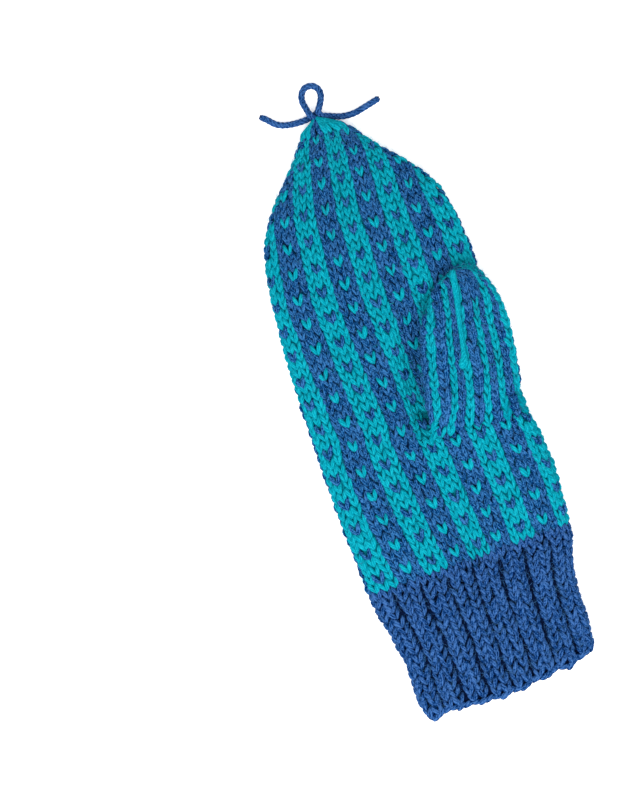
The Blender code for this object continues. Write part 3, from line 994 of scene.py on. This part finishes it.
def over_thumb(route_mm, rise_mm):
    """A smooth line over the thumb's face, at heights from a table by share of its length, and the shares."""
    line = smooth_line(np.array([(x, y, 0.0) for x, y in route_mm]) / 1000)[0]
    at = np.array([thumb_skin.share_on_top(x, y) for x, y, _ in line])
    along = np.linspace(0, 1, len(line))
    return thumb_skin.place(line[:, 1], at, looked_up(rise_mm, along) / 1000)[0], along


woven_line, along = over_thumb(WOVEN_ROUTE_MM, WOVEN_RISE_MM)
woven_thick = looked_up(WOVEN_THICK_MM, along) / 1000
plied("woven_in_end", woven_line, woven_thick, teal_wool, plies=5, lead=0.0110)
print("woven-in end:", len(woven_line), "places")

# %% [markdown]
# ## The corners of the thumb's hole
#
# At both corners of its hole the thumb's first round draws the palm's stitches together, so a few legs of
# yarn run in other directions than the columns. No rule gives these, so each has its own line in a table.
# They lie on whichever solid is the higher one there, which a ray straight down finds.

# %% Legs at the corners
CORNER_LEGS_MM = (
    # colour, where the leg starts, where it ends, its thickness
    ("teal", (0.9, -11.0), (5.9, -9.9), 1.9),
    ("teal", (0.4, -13.0), (5.6, -11.9), 1.9),
    ("teal", (-0.6, -11.6), (2.0, -15.2), 1.8),
    ("teal", (2.6, -13.4), (5.2, -16.6), 1.8),
    ("teal", (5.4, -16.8), (8.6, -12.6), 1.9),
    ("teal", (0.4, -9.0), (2.4, -12.2), 1.6),
    ("blue", (39.4, -8.8), (40.6, -12.4), 1.8),
    ("blue", (42.0, -8.8), (40.9, -12.4), 1.8),
    ("blue", (39.0, -12.0), (40.3, -15.6), 1.8),
    ("blue", (41.8, -12.0), (40.6, -15.6), 1.8),
    ("blue", (39.2, -14.8), (40.3, -18.0), 1.8),
    ("blue", (41.8, -14.8), (40.7, -18.0), 1.8),
)
CORNER_LEG_THICK = (0.45, 0.80, 1.00, 1.02, 0.84, 0.45)
CORNER_LIFT, CORNER_ARCH = 0.0005, 0.0009
UPWARDS = np.array([0.0, 0.0, 1.0])
ABOVE_ALL = 0.1


def top_of_solids(x, y):
    """The height of the hand or the thumb at a place, whichever is higher."""
    down = Vector((x, y, ABOVE_ALL)), Vector(-UPWARDS)
    hits = [skin.tree.ray_cast(*down)[0] for skin in (hand_skin, thumb_skin)]
    return max(hit.z for hit in hits if hit is not None)


def corner_legs(colour, material):
    """The single legs of one colour, each a low arch."""
    t = np.linspace(0, 1, len(CORNER_LEG_THICK))[:, None]
    arch = UPWARDS * (CORNER_ARCH * np.sin(math.pi * t) + CORNER_LIFT)
    middle, half = [], []
    for _, start, end, size in (leg for leg in CORNER_LEGS_MM if leg[0] == colour):
        low, high = (np.array([x, y, top_of_solids(x, y)]) for x, y in np.array([start, end]) / 1000)
        middle.append(low * (1 - t) + high * t + arch)
        half.append(np.array(CORNER_LEG_THICK) * size / 2000)
    middle, half = np.array(middle), np.array(half)
    tone = rng.uniform(0.3, 0.8, len(middle))
    strands(f"corner_legs_{colour}", middle, np.zeros_like(middle) + UPWARDS, half, half, material, tone)


corner_legs("teal", teal_wool)
corner_legs("blue", blue_wool)
print("legs at the corners:", len(CORNER_LEGS_MM))

# %% [markdown]
# ## Strands over the thumb's tip
#
# A few thin strands of teal lie slack over the tip of the thumb, where its last stitches were drawn
# together. Each is a short route over the skin, like the woven-in end, but plied from two.

# %% Strands over the thumb's tip
STRAY_RISE_MM = ((0.0, 0.3), (1.0, 0.3))
STRAY_ROUTES_MM = (
    # thickness, then places on the thumb
    (0.8, (12.8, 36.6), (16.0, 40.8), (19.7, 43.7), (24.8, 47.2), (29.2, 49.4)),
    (0.5, (22.0, 46.0), (27.0, 48.8), (33.6, 51.4), (38.0, 51.2), (41.6, 49.2)),
    (0.4, (31.0, 50.2), (35.0, 51.8), (40.0, 50.6), (43.9, 47.2), (45.0, 44.0)),
    (0.4, (33.0, 50.8), (37.0, 50.4), (40.6, 48.4), (44.6, 44.6), (46.2, 41.0)),
)
for number, (thick, *route) in enumerate(STRAY_ROUTES_MM, start=1):
    line = over_thumb(route, STRAY_RISE_MM)[0]
    plied(f"thumb_tip_strand_{number}", line, thick / 1000, teal_wool, plies=2, lead=0.0040)
print("strands over the thumb's tip:", number)

# %% [markdown]
# ## The ribbed cuff
#
# Two knit columns and a purl one repeat round the wrist. The knit columns draw together into a ridge, and
# the purl column sinks between the ridges, where only its crossways bumps show. The solid already has the
# ridges and valleys, so the stitches only have to be put in their places on it. Its rows slope as the
# mitten was laid down, and its lower edge waves up and down from rib to rib.

# %% Layout of the cuff
RIBS = 8
CUFF_ROWS = 17
CUFF_FRONT = BOTTOM + 0.00323
CUFF_ROW = (JOIN - CUFF_FRONT) / CUFF_ROWS
CUFF_MIDDLE_X = 0.0008
EDGE_WAVE_MM = (
    # rib, how far the cast-on edge is drawn up
    (0.0, 1.2),
    (0.3, 0.2),
    (1.1, 1.3),
    (1.7, 0.8),
    (2.3, -0.4),
    (3.4, -1.9),
    (4.3, -2.5),
    (5.0, -1.3),
    (5.4, -1.5),
    (6.1, -0.4),
    (6.5, -1.3),
    (6.9, -0.9),
    (7.3, 0.7),
    (8.0, 1.6),
)
WAVE_FADES = 8
CUFF_TILT = (
    # share of the cuff's length, slope of its rows
    (0.00, 0.085),
    (0.06, 0.080),
    (0.16, 0.070),
    (0.34, 0.055),
    (0.52, 0.045),
    (0.68, 0.038),
    (0.80, 0.035),
)


def cuff_tilt(y):
    """Slope of a row across the cuff, most at the cast-on edge."""
    return float(looked_up(CUFF_TILT, (y - CUFF_FRONT) / (JOIN - CUFF_FRONT)))


cuff_rows = np.linspace(CUFF_FRONT + 0.0022, JOIN - 0.0006, 60)
cuff_skin = Skin("ribbed_cuff", cuff_rows, cuff_tilt, CUFF_MIDDLE_X)
print("cuff:", CUFF_ROWS, "rows of", round(CUFF_ROW * 1000, 1), "mm")


def cuff_place(column, row, rise):
    """A place in the cuff's knitting, in ribs: 0 to 8 on the palm side and 8 to 16 under it."""
    top_column = np.where(column <= RIBS, column, 2 * RIBS - column)
    wave = looked_up(EDGE_WAVE_MM, top_column) * (1 - ease(row / WAVE_FADES)) / 1000
    y = CUFF_FRONT + row * CUFF_ROW + wave
    right = cuff_skin.along_rows(cuff_skin.right, y)
    at = np.where(column <= RIBS, column / RIBS * right, right + (column - RIBS) / RIBS * (1 - right))
    return cuff_skin.place(y, at, rise)


# %% [markdown]
# ## Knit stitches of the cuff
#
# Every rib has two knit columns side by side, which don't start level. Their stitches are drawn narrow, the
# outer leg of each a little more than the inner one, and the right leg of every stitch leans more than the
# left one.

# %% Knit stitches of the cuff
RIDGE_RISE = 0.0006
VALLEY_SINK = 0.0016
KNIT_APART = 0.237
OUTER, INNER = 0.42, 0.46
UNLEVEL = 0.12
CUFF_STRAND = 0.0026
CUFF_LOOK = {"fat": 0.90, "skew": 0.30}


def ridge_place(column, row, rise):
    """A place in the cuff with the ridges raised and the valleys sunk more than in the solid."""
    off = 2 * (column % 1) - 1
    return cuff_place(column, row, rise + RIDGE_RISE - VALLEY_SINK * off**2)


knits, spreads = [], []
for rib in range(RIBS * 2):
    for apart, spread in ((-KNIT_APART, (OUTER, INNER)), (KNIT_APART, (INNER, OUTER))):
        start = rng.uniform(-UNLEVEL, UNLEVEL)
        knits += [(rib + apart, row + start) for row in range(CUFF_ROWS - 1)]
        spreads += [spread] * (CUFF_ROWS - 1)
legs("cuff_knit_stitches", ridge_place, knits, CUFF_STRAND, cuff_wool, spread=np.array(spreads), **CUFF_LOOK)
print("cuff stitches:", len(knits))

# %% [markdown]
# ## Purl bumps
#
# Of a purl stitch only one short crossways bump can be seen, at the bottom of the valley between two ribs.
# So no whole stitch is built there, only a short bead to each row, thin at both ends.

# %% Purl bumps in the valleys
PURL = np.linspace(-1, 1, 5)
PURL_REACH, PURL_BOW = 0.12, 0.16
PURL_DEPTH, PURL_DIP = 0.0031, 0.0004
PURL_HALF = 0.0008
PURL_OFF = 0.05


def purls():
    """Short crossways beads, one to a row, at the bottom of each valley."""
    column = np.repeat(np.arange(RIBS * 2), CUFF_ROWS)[:, None] * 1.0
    row = np.tile(np.arange(CUFF_ROWS), RIBS * 2)[:, None] + 0.5
    across = column + PURL * PURL_REACH
    up = row + PURL_BOW * (1 - PURL**2) + rng.normal(0, PURL_OFF, row.shape)
    centre, out = cuff_place(across % (2 * RIBS), up, -PURL_DEPTH - PURL_DIP * PURL**2 + 0 * across)
    half = PURL_HALF * (1 - 0.5 * PURL**2) * np.ones_like(across)
    strands("cuff_purl_bumps", centre, out, half, half, cuff_wool, rng.uniform(0, 0.6, len(column)))


purls()
print("purl bumps:", RIBS * 2 * CUFF_ROWS)

# %% [markdown]
# ## The cast-on edge
#
# The first row of loops makes a firm, rope-like edge. One short plump bead stands for each loop. The beads
# lie end to end round the rim, each leaning a little, so the edge has the real one's small scallops, and
# the edge dips at the middle of every rib.

# %% Cast-on loops
LOOPS = 52
LOOP_REACH = 0.68
LOOP_ROW, LOOP_LEAN, RIB_DIP = -0.05, 0.30, 0.14
LOOP_OFF, LOOP_OFF_THICK = 0.08, 0.08
LOOP_DEPTH, LOOP_FORWARD = 0.0011, 0.0006
LOOP_HALF = 0.00140
LOOP_THICK = np.array([0.55, 0.9, 1.0, 1.0, 0.9, 0.55])


def cast_on():
    """A round of slanting beads along the lower edge of the cuff."""
    t = np.linspace(-LOOP_REACH, LOOP_REACH, len(LOOP_THICK))
    column = (np.arange(LOOPS)[:, None] + 0.5 + t) / LOOPS * 2 * RIBS
    row = LOOP_ROW + LOOP_LEAN * t + rng.normal(0, LOOP_OFF, (LOOPS, 1))
    row = row - RIB_DIP * np.cos(2 * math.pi * (column - 0.5))
    centre, out = cuff_place(column % (2 * RIBS), np.maximum(row, 0.0), -LOOP_DEPTH + 0 * column)
    centre[..., 1] += np.minimum(row, 0.0) * CUFF_ROW - LOOP_FORWARD
    half = LOOP_HALF * LOOP_THICK * rng.normal(1, LOOP_OFF_THICK, (LOOPS, 1))
    strands("cast_on_edge", centre, out, half, half, cuff_wool, rng.uniform(0, 1, LOOPS))


cast_on()
print("cast-on loops:", LOOPS)

# %% [markdown]
# ## The inside
#
# Behind the legs of the stitches lie their loops and the strands carried behind the stripes. Nobody sees
# them singly, only as a woolly ground in the shade between the legs and as the mitten's inside at the
# wrist. To build them would double the faces for little to see, so a shell a little under the skin stands
# for them. Its outer face is darker than the wool, as painted shade between the legs and in the cuff's
# valleys, with teal under the teal columns, and its inner face and rim are the plain blue back of the
# knitting. A Solidify modifier gives the shell its wall.

# %% Wool and walls of the inside
def lining_wool(name, dark, light, teal_dark=None, teal_light=None):
    """The back of the knitting in two tones, its crossways rows a bump with painted shade between them."""
    make = Finish(name)
    across, along = make.map_values("strand")
    place = make.add("ShaderNodeTexCoord", {}, {}, "Object")
    matted = make.noise(place, 900, 3)
    rows = ((along + matted * 0.5).fract() - 0.5).abs() * 2
    loops = ((across + matted * 0.5).fract() - 0.5).abs() * 2
    raised = (1 - rows**2) * (0.6 + loops * 0.4)
    shade = raised * 0.7 + matted * 0.3
    colour = make.blend(shade, dark, light)
    if teal_dark:
        colour = make.blend(make.map_values("tone")[0], colour, make.blend(shade, teal_dark, teal_light))
    bump = make.add("ShaderNodeBump", {}, {"Height": raised * 0.0008 + matted * 0.0003, "Distance": 1.0})
    return make.finish(Base_Color=colour, Roughness=0.95, Normal=bump, Specular_IOR_Level=0.1)


# dark and light; the first three are painted shade, darker than the wool, seen between legs and ribs
NAVY_PAINTED_SHADE = (0.000, 0.006, 0.035, 1), (0.001, 0.025, 0.085, 1)
TEAL_PAINTED_SHADE = (0.000, 0.155, 0.215, 1), (0.000, 0.235, 0.318, 1)
NEAR_BLACK_PAINTED_SHADE = (0.000, 0.002, 0.020, 1), (0.001, 0.010, 0.048, 1)
PLAIN_BLUE = (0.002, 0.025, 0.100, 1), (0.020, 0.085, 0.250, 1)
# painted shade: the ground between the legs and between the ribs is darker than the wool
striped_painted_shade = lining_wool("between the stripes", *NAVY_PAINTED_SHADE, *TEAL_PAINTED_SHADE)
ribs_painted_shade = lining_wool("between the ribs", *NEAR_BLACK_PAINTED_SHADE)
blue_inside = lining_wool("back of the knitting", *PLAIN_BLUE)


def shell(name, place, columns, rows, depth, thick, material, closed=True, tip=False, skip=None, teal=None):
    """A wall under the skin over a range of columns and rows, with a face over its far end for a tip."""
    across, up = np.meshgrid(columns, rows)
    points = place(across, up, -depth + 0 * across)[0].reshape(-1, 3)
    wide, tall = len(columns), len(rows)
    quads = []
    for i in range(tall - 1):
        for j in range(wide if closed else wide - 1):
            if skip is None or not skip(columns[j], rows[i]):
                k = (j + 1) % wide
                quads.append((i * wide + j, i * wide + k, (i + 1) * wide + k, (i + 1) * wide + j))
    corners = np.array(quads).ravel()
    faces = np.arange(len(quads)) * 4
    if tip:
        corners = np.concatenate([corners, np.arange(wide) + (tall - 1) * wide])
        faces = np.append(faces, len(quads) * 4)
    where = np.stack([across.ravel(), up.ravel()], axis=1)[corners]
    tones = np.stack([(teal(across, up) if teal else 0 * up).ravel(), 0 * up.ravel()], axis=1)[corners]
    piece = make_mesh(name, points, faces, corners, material, where, tones)
    piece.data.materials.append(blue_inside)
    wall = piece.modifiers.new("wall", "SOLIDIFY")
    wall.thickness, wall.offset = thick, -1
    wall.material_offset = wall.material_offset_rim = 1


# %% [markdown]
# ## Teal or blue at any place
#
# The ground between the legs, the gathered tip and the loose fibre all take the colour of the stitches they
# lie on. For the hand it is a wave across the stripes. For the thumb the push of its columns is undone
# first: it depends on the column that is being sought, so it is worked out in a few rounds.

# %% How teal a place is
STRIPE = 3
TEAL_MIDDLE = 1.5
HAND_CONTRAST, THUMB_CONTRAST = 1.2, 1.0
ROUNDS = 4
ENDED_HALF = 0.8


def hand_teal(column, row):
    """How teal the knitting is over a place in the hand's shell, from 0 to 1."""
    y = row_y(row)
    at = column / HAND_COLUMNS
    right = hand_skin.along_rows(hand_skin.right, y)
    teal = []
    for back, middle in ((False, PALM_MIDDLE), (True, BACK_MIDDLE)):
        centre, _, share = hand_place(middle + 0 * column, row, 0 * row, back)[2:]
        chart = middle + (at - centre) / share
        wave = np.cos((chart - TEAL_MIDDLE) * math.pi / STRIPE)
        teal.append(np.clip(0.5 + HAND_CONTRAST * wave, 0, 1))
    return np.where(at < right, *teal)


def hand_teal_at(at, y):
    """The same at a share of the way round the hand."""
    return hand_teal(at * HAND_COLUMNS, row_at(y))


def thumb_teal_at(at, y):
    """How teal the thumb is at a share of the way round: every other column is."""
    right, share = thumb_place(THUMB_COLUMNS + 0 * at, (y - HOLE_FRONT) / THUMB_ROW, 0 * at)[3:]
    around = thumb_skin.along_rows(thumb_skin.length, y)
    chart = THUMB_COLUMNS + (at - right) / share
    for _ in range(ROUNDS):
        chart = THUMB_COLUMNS + (at - right - thumb_moved(chart, y) / around) / share
    ended = (np.abs(chart - ENDED_COLUMN - 0.5) < ENDED_HALF) & (y > ENDED_AT)
    wave = np.cos((chart - TEAL_MIDDLE) * math.pi)
    return np.where(ended, 0, np.clip(0.5 + THUMB_CONTRAST * wave, 0, 1))


def never_teal(at, y):
    """The cuff is blue all over."""
    return 0 * y


# %% [markdown]
# ## The gathered tip
#
# The last round of stitches is drawn together on the tie yarn. Their legs are pulled long and run together
# from all round to the neck of the tie yarn, in the colours of the columns that they end. On the right half
# of the palm they are all teal. The columns are too crowded there to go on by rule, so the long legs are
# shared out evenly round the tip, each a little off its place.

# %% Gathered legs
GATHERED = 22
GATHER, GATHER_FROM = 0.0068, 0.0003
GATHER_OFF, GATHER_SWAY, GATHER_OFF_LONG, GATHER_OFF_THICK = 0.10, 0.3, 0.07, 0.08
GATHER_ARCH, GATHER_DEPTH, ARCH_PACE = 0.0009, 0.0010, 1.15
NECK = np.array([TIP_X - 0.0012, TIP + 0.0010, 0.0052])
NECK_HALF, NECK_ENDS = 0.0011, 0.42
GATHER_HALF = 0.00120
GATHER_THICK = (
    # share of the leg from the neck down, thickness
    (0.00, 0.55),
    (0.25, 0.80),
    (0.60, 1.00),
    (0.85, 0.95),
    (1.00, 0.50),
)
TEAL_ENOUGH = 0.35
ALL_TEAL_FROM, ALL_TEAL_TO = 13, 23


def gathered():
    """Long legs that run from the neck of the tie yarn down to the last rows."""
    t = np.linspace(0, 1, 9)
    each = (GATHERED, 1)
    share = (np.arange(GATHERED) + 0.5 + rng.normal(0, GATHER_OFF, GATHERED))[:, None] / GATHERED + 0 * t
    share = share + rng.choice([-GATHER_SWAY, GATHER_SWAY], each) * t**2 / GATHERED
    y = TIP - GATHER_FROM - GATHER * t * rng.normal(1, GATHER_OFF_LONG, each)
    rise = GATHER_ARCH * np.sin(math.pi * np.clip(t * ARCH_PACE, 0, 1)) - GATHER_DEPTH
    centre, out = hand_skin.place(y, share, rise + 0 * share)
    near = (1 - ease(t / NECK_ENDS))[:, None]
    centre = centre * (1 - near) + (NECK + out * NECK_HALF) * near
    half = GATHER_HALF * looked_up(GATHER_THICK, t) * rng.normal(1, GATHER_OFF_THICK, each)
    column = share[:, -1] * HAND_COLUMNS
    teal = hand_teal_at(share[:, -1], y[:, -1]) > TEAL_ENOUGH
    teal = teal | ((column > ALL_TEAL_FROM) & (column < ALL_TEAL_TO))
    for chosen, colour, material in ((teal, "teal", teal_wool), (~teal, "blue", blue_wool)):
        parts = [part[chosen] for part in (centre, out, half, half)]
        strands(f"gathered_{colour}", *parts, material, rng.uniform(0.2, 0.8, chosen.sum()))
        print("gathered", colour, "legs:", chosen.sum())


gathered()

# %% [markdown]
# ## The shells
#
# The hand's shell goes round evenly and is closed at the tip, with a gap at the thumb's hole. The thumb has
# one shell for the bag and another, open one for the face of its root, where the palm lies behind it. The
# cuff's follows its ribs.


# %% Inner shells
def thumb_share(column, y):
    """The share of the way round the thumb that its shell's columns have, twelve on each side."""
    right = thumb_skin.along_rows(thumb_skin.right, y)
    behind = right + (column - THUMB_COLUMNS) / THUMB_COLUMNS * (1 - right)
    return np.where(column <= THUMB_COLUMNS, column / THUMB_COLUMNS * right, behind)


def thumb_teal(column, row):
    """How teal the thumb is over a place in its shell."""
    y = thumb_y(row)
    return thumb_teal_at(thumb_share(column, y), y)


def hand_ring(column, row, rise):
    """Evenly round the hand."""
    return hand_skin.place(row_y(row), column / HAND_COLUMNS, rise)


def thumb_ring(column, row, rise):
    """Evenly over the thumb's face and back."""
    y = thumb_y(row)
    return thumb_skin.place(y, thumb_share(column, y), rise)


def at_hole(column, row):
    """Whether a face of the hand's shell lies in the thumb's hole."""
    y = row_y(row)
    return HOLE_FRONT < y < HOLE_BACK and THUMB_FIRST + 1 < column < THUMB_LAST + 2


shell(
    "hand_inside",
    hand_ring,
    columns=np.arange(HAND_COLUMNS),
    rows=np.linspace(-0.2, 54.6, 56),
    depth=0.0014,
    thick=0.0012,
    material=striped_painted_shade,
    tip=True,
    skip=at_hole,
    teal=hand_teal,
)
shell(
    "thumb_inside",
    thumb_ring,
    columns=np.arange(0, 2 * THUMB_COLUMNS, 0.5),
    rows=np.linspace(2.4, 16.8, 15),
    depth=0.0016,
    thick=0.0008,
    material=striped_painted_shade,
    tip=True,
    teal=thumb_teal,
)
shell(
    "thumb_root_inside",
    thumb_ring,
    columns=np.linspace(0, THUMB_COLUMNS, 25),
    rows=np.linspace(0.5, 3.0, 5),
    depth=0.0020,
    thick=0.0008,
    material=striped_painted_shade,
    closed=False,
    teal=thumb_teal,
)
shell(
    "cuff_inside",
    cuff_place,
    columns=np.arange(0, 2 * RIBS, 0.25),
    rows=np.linspace(0.0, CUFF_ROWS, 18),
    depth=0.0022,
    thick=0.0012,
    material=ribs_painted_shade,
)

# %% [markdown]
# ## The tie yarn
#
# A bit of the darker yarn goes through the stitches at the tip, makes a loop and is tied, and its two ends
# lie on the surface. The routes are the same as in the solid part and are measured from the mitten's tip.
# Another short stretch goes down into the tip between the stitches, which squeeze it a little thinner.

# %% Tie yarn
YARN = 0.0029
SQUEEZED = 0.9
AT_TIP = (TIP_X, TIP, 0)
LOOP_ROUTE = (
    (-0.0010, 0.0008, 0.0052),
    (-0.0029, 0.0034, 0.0052),
    (-0.0039, 0.0073, 0.0036),
    (-0.0044, 0.0104, 0.0020),
    (-0.0038, 0.0134, 0.0016),
    (-0.0016, 0.0158, 0.0016),
    (0.0018, 0.0158, 0.0016),
    (0.0040, 0.0136, 0.0018),
    (0.0042, 0.0104, 0.0028),
    (0.0026, 0.0068, 0.0046),
    (0.0010, 0.0042, 0.0054),
    (0.0016, 0.0020, 0.0050),
    (0.0046, 0.0008, 0.0034),
    (0.0100, -0.0010, 0.0018),
    (0.0155, -0.0014, 0.0016),
    (0.0210, -0.0003, 0.0016),
    (0.0285, 0.0016, 0.0016),
)
INTO_TIP = (
    (-0.0022, 0.0028, 0.0056),
    (-0.0013, 0.0010, 0.0058),
    (-0.0008, -0.0012, 0.0052),
    (-0.0006, -0.0034, 0.0036),
)
TAIL_ROUTE = (
    (0.0022, 0.0054, 0.0017),
    (0.0002, 0.0038, 0.0016),
    (-0.0028, 0.0027, 0.0016),
    (-0.0066, 0.0022, 0.0016),
    (-0.0113, 0.0023, 0.0016),
    (-0.0156, 0.0031, 0.0016),
    (-0.0188, 0.0047, 0.0016),
    (-0.0219, 0.0078, 0.0016),
    (-0.0245, 0.0099, 0.0016),
)
loop_line, loop_length = smooth_line(np.array(LOOP_ROUTE) + AT_TIP)
tail_line, tail_length = smooth_line(np.array(TAIL_ROUTE) + AT_TIP)
into_tip = smooth_line(np.array(INTO_TIP) + AT_TIP)[0]
print("tie yarn:", round(loop_length * 1000), "and", round(tail_length * 1000), "mm")
tie_loop = plied("tie_yarn_loop", loop_line, YARN, cuff_wool)
plied("tie_yarn_in_the_tip", into_tip, YARN * SQUEEZED, cuff_wool)
tie_tail = plied("tie_yarn_tail", tail_line, YARN, cuff_wool)

# %% [markdown]
# ## Loose fibre
#
# Wool is hairy. Short curved fibres stand off the skin all over, too fine to see singly in the middle of
# the mitten but enough to soften its outline. A hair system could grow them. Here the function that made
# the stitches makes them too, as strands of three steps and three sides, so they are plain meshes like the
# rest.


# %% Fibres
def fuzz(name, deep, bright):
    """Fine loose fibre, some of it in shade and some catching the light."""
    make = Finish(name)
    colour = make.blend(make.map_values("tone")[0], deep, bright)
    return make.finish(Base_Color=colour, Roughness=0.9, Specular_IOR_Level=0.1)


teal_fuzz = fuzz("teal fibre", (0.000, 0.24, 0.32, 1), (0.012, 0.54, 0.64, 1))
blue_fuzz = fuzz("blue fibre", (0.002, 0.06, 0.20, 1), (0.085, 0.26, 0.53, 1))
ON_UPPER_SIDE = 0.75
LYING = 0.8
LYING_SLANT, STANDING_SLANT = 0.12, 0.8
LEAST_RISE, MOST_RISE = 0.0001, 0.0006
SHORTEST, LONGEST = 0.0014, 0.0036
FIBRE_BEND = 0.35
FIBRE_HALF = 0.000045
FIBRE_THICK = np.array([1, 0.9, 0.5])


def fibres(name, skin, count, low, high, teal_at):
    """Fine bent hairs, most of them lying on the stitches of the upper side and some standing off it."""
    y = rng.uniform(low, high, count)
    right = skin.along_rows(skin.right, y)
    upper = rng.uniform(0, 1, count) < ON_UPPER_SIDE
    share = rng.uniform(0, 1, count) * np.where(upper, right, 1 - right) + np.where(upper, 0, right)
    root, out = skin.place(y, share, rng.uniform(LEAST_RISE, MOST_RISE, count))
    lying = rng.normal(0, 1, (count, 3))
    lying = unit(lying - out * (lying * out).sum(axis=1, keepdims=True))
    slant = np.where(rng.uniform(0, 1, count) < LYING, LYING_SLANT, STANDING_SLANT)[:, None]
    ahead = unit(lying + out * slant)
    bend = unit(rng.normal(0, 1, (count, 3)))
    length = rng.uniform(SHORTEST, LONGEST, count)[:, None, None]
    t = np.linspace(0, 1, len(FIBRE_THICK))[:, None]
    curve = root[:, None] + ahead[:, None] * t * length + bend[:, None] * t**2 * length * FIBRE_BEND
    thick = FIBRE_HALF * FIBRE_THICK * np.ones((count, len(FIBRE_THICK)))
    out = np.repeat(out[:, None], len(FIBRE_THICK), axis=1)
    teal = teal_at(share, y) > 0.5
    for chosen, colour, material in ((teal, "teal", teal_fuzz), (~teal, "blue", blue_fuzz)):
        if chosen.any():
            parts = [part[chosen] for part in (curve, out, thick, thick)]
            strands(f"fibres_{name}_{colour}", *parts, material, rng.uniform(0, 1, chosen.sum()), 3, False)
            print("fibres on the", name, "in", colour, chosen.sum())


fibres("hand", hand_skin, 6000, JOIN, TIP - 0.002, hand_teal_at)
fibres("thumb", thumb_skin, 1300, HOLE_BACK, THUMB_TIP - 0.001, thumb_teal_at)
fibres("cuff", cuff_skin, 2400, BOTTOM + 0.006, JOIN, never_teal)

# %% [markdown]
# ## Floor and light
#
# The mitten lies on a white table under broad, soft light, so its shadow is faint and its colours are
# clear. One large lamp is high on the left, beyond the cuff, and a weaker one fills from the right. The
# table glows a little by itself though it is no lamp, a painted light that makes the mitten's shadow on it
# fainter still and keeps it white with little more light on the wool.

# %% Floor
TABLE_HALF = 2
WHITE = (0.92, 0.92, 0.92, 1)
white_table = Finish("white table").finish(
    Base_Color=WHITE,
    Roughness=0.9,
    Emission_Color=WHITE,
    # painted light: the table glows, which lightens the mitten's shadow on it
    Emission_Strength=0.45,
)
table = bpy.data.meshes.new("table")
square = ((-1, -1), (1, -1), (1, 1), (-1, 1))
table.from_pydata([(x * TABLE_HALF, y * TABLE_HALF, 0) for x, y in square], [], [(0, 1, 2, 3)])
table.materials.append(white_table)
floor = bpy.data.objects.new("table", table)
bpy.context.scene.collection.objects.link(floor)
print("table:", 2 * TABLE_HALF, "m square")


# %% Lamps and sky
def lamp(name, place, size, watts):
    """A square soft light that faces the middle of the mitten."""
    light = bpy.data.lights.new(name, "AREA")
    light.size, light.energy = size, watts
    body = bpy.data.objects.new(name, light)
    body.location = place
    body.rotation_euler = (-Vector(place)).to_track_quat("-Z", "Y").to_euler()
    bpy.context.scene.collection.objects.link(body)
    return body


lamps = [
    lamp("softbox", (-0.35, -0.62, 1.25), size=1.1, watts=24.0),
    lamp("fill", (0.7, -0.3, 1.5), size=1.2, watts=7.0),
]
world = bpy.data.worlds.new("studio")
world.use_nodes = True
sky = world.node_tree.nodes["Background"].inputs
sky["Color"].default_value = (1, 1, 1, 1)
sky["Strength"].default_value = 0.68
bpy.context.scene.world = world
bpy.context.scene.view_settings.view_transform = "Standard"
print("lamps:", [light.name for light in lamps])

# %% [markdown]
# ## What each piece is
#
# Nothing on the mitten moves by itself, so every piece rides on its one body. A shell or a strand of tie
# yarn stands in for each solid, and the stitches lie on top.

replaced = {
    "hand": "hand_inside",
    "thumb": "thumb_inside",
    "ribbed_cuff": "cuff_inside",
    "tie_loop": "tie_yarn_loop",
    "tie_tail": "tie_yarn_tail",
}


for piece in list(bpy.context.scene.objects):
    if piece.type == "MESH" and "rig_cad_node" not in piece and piece is not floor:
        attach(piece, "root")
for node, name in replaced.items():
    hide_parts(node)
    print(name, "stands in for the solid", node)

# %% [markdown]
# ## Count the triangles
#
# Last, the triangles are counted.

# %% Count the triangles
shown = [o for o in bpy.context.scene.objects if o.type == "MESH" and o.name not in frame["nodes"]]
triangles = {piece.name: sum(len(face.vertices) - 2 for face in piece.data.polygons) for piece in shown}
print("triangles:", sum(triangles.values()), "most in one:", max(triangles.items(), key=lambda item: item[1]))
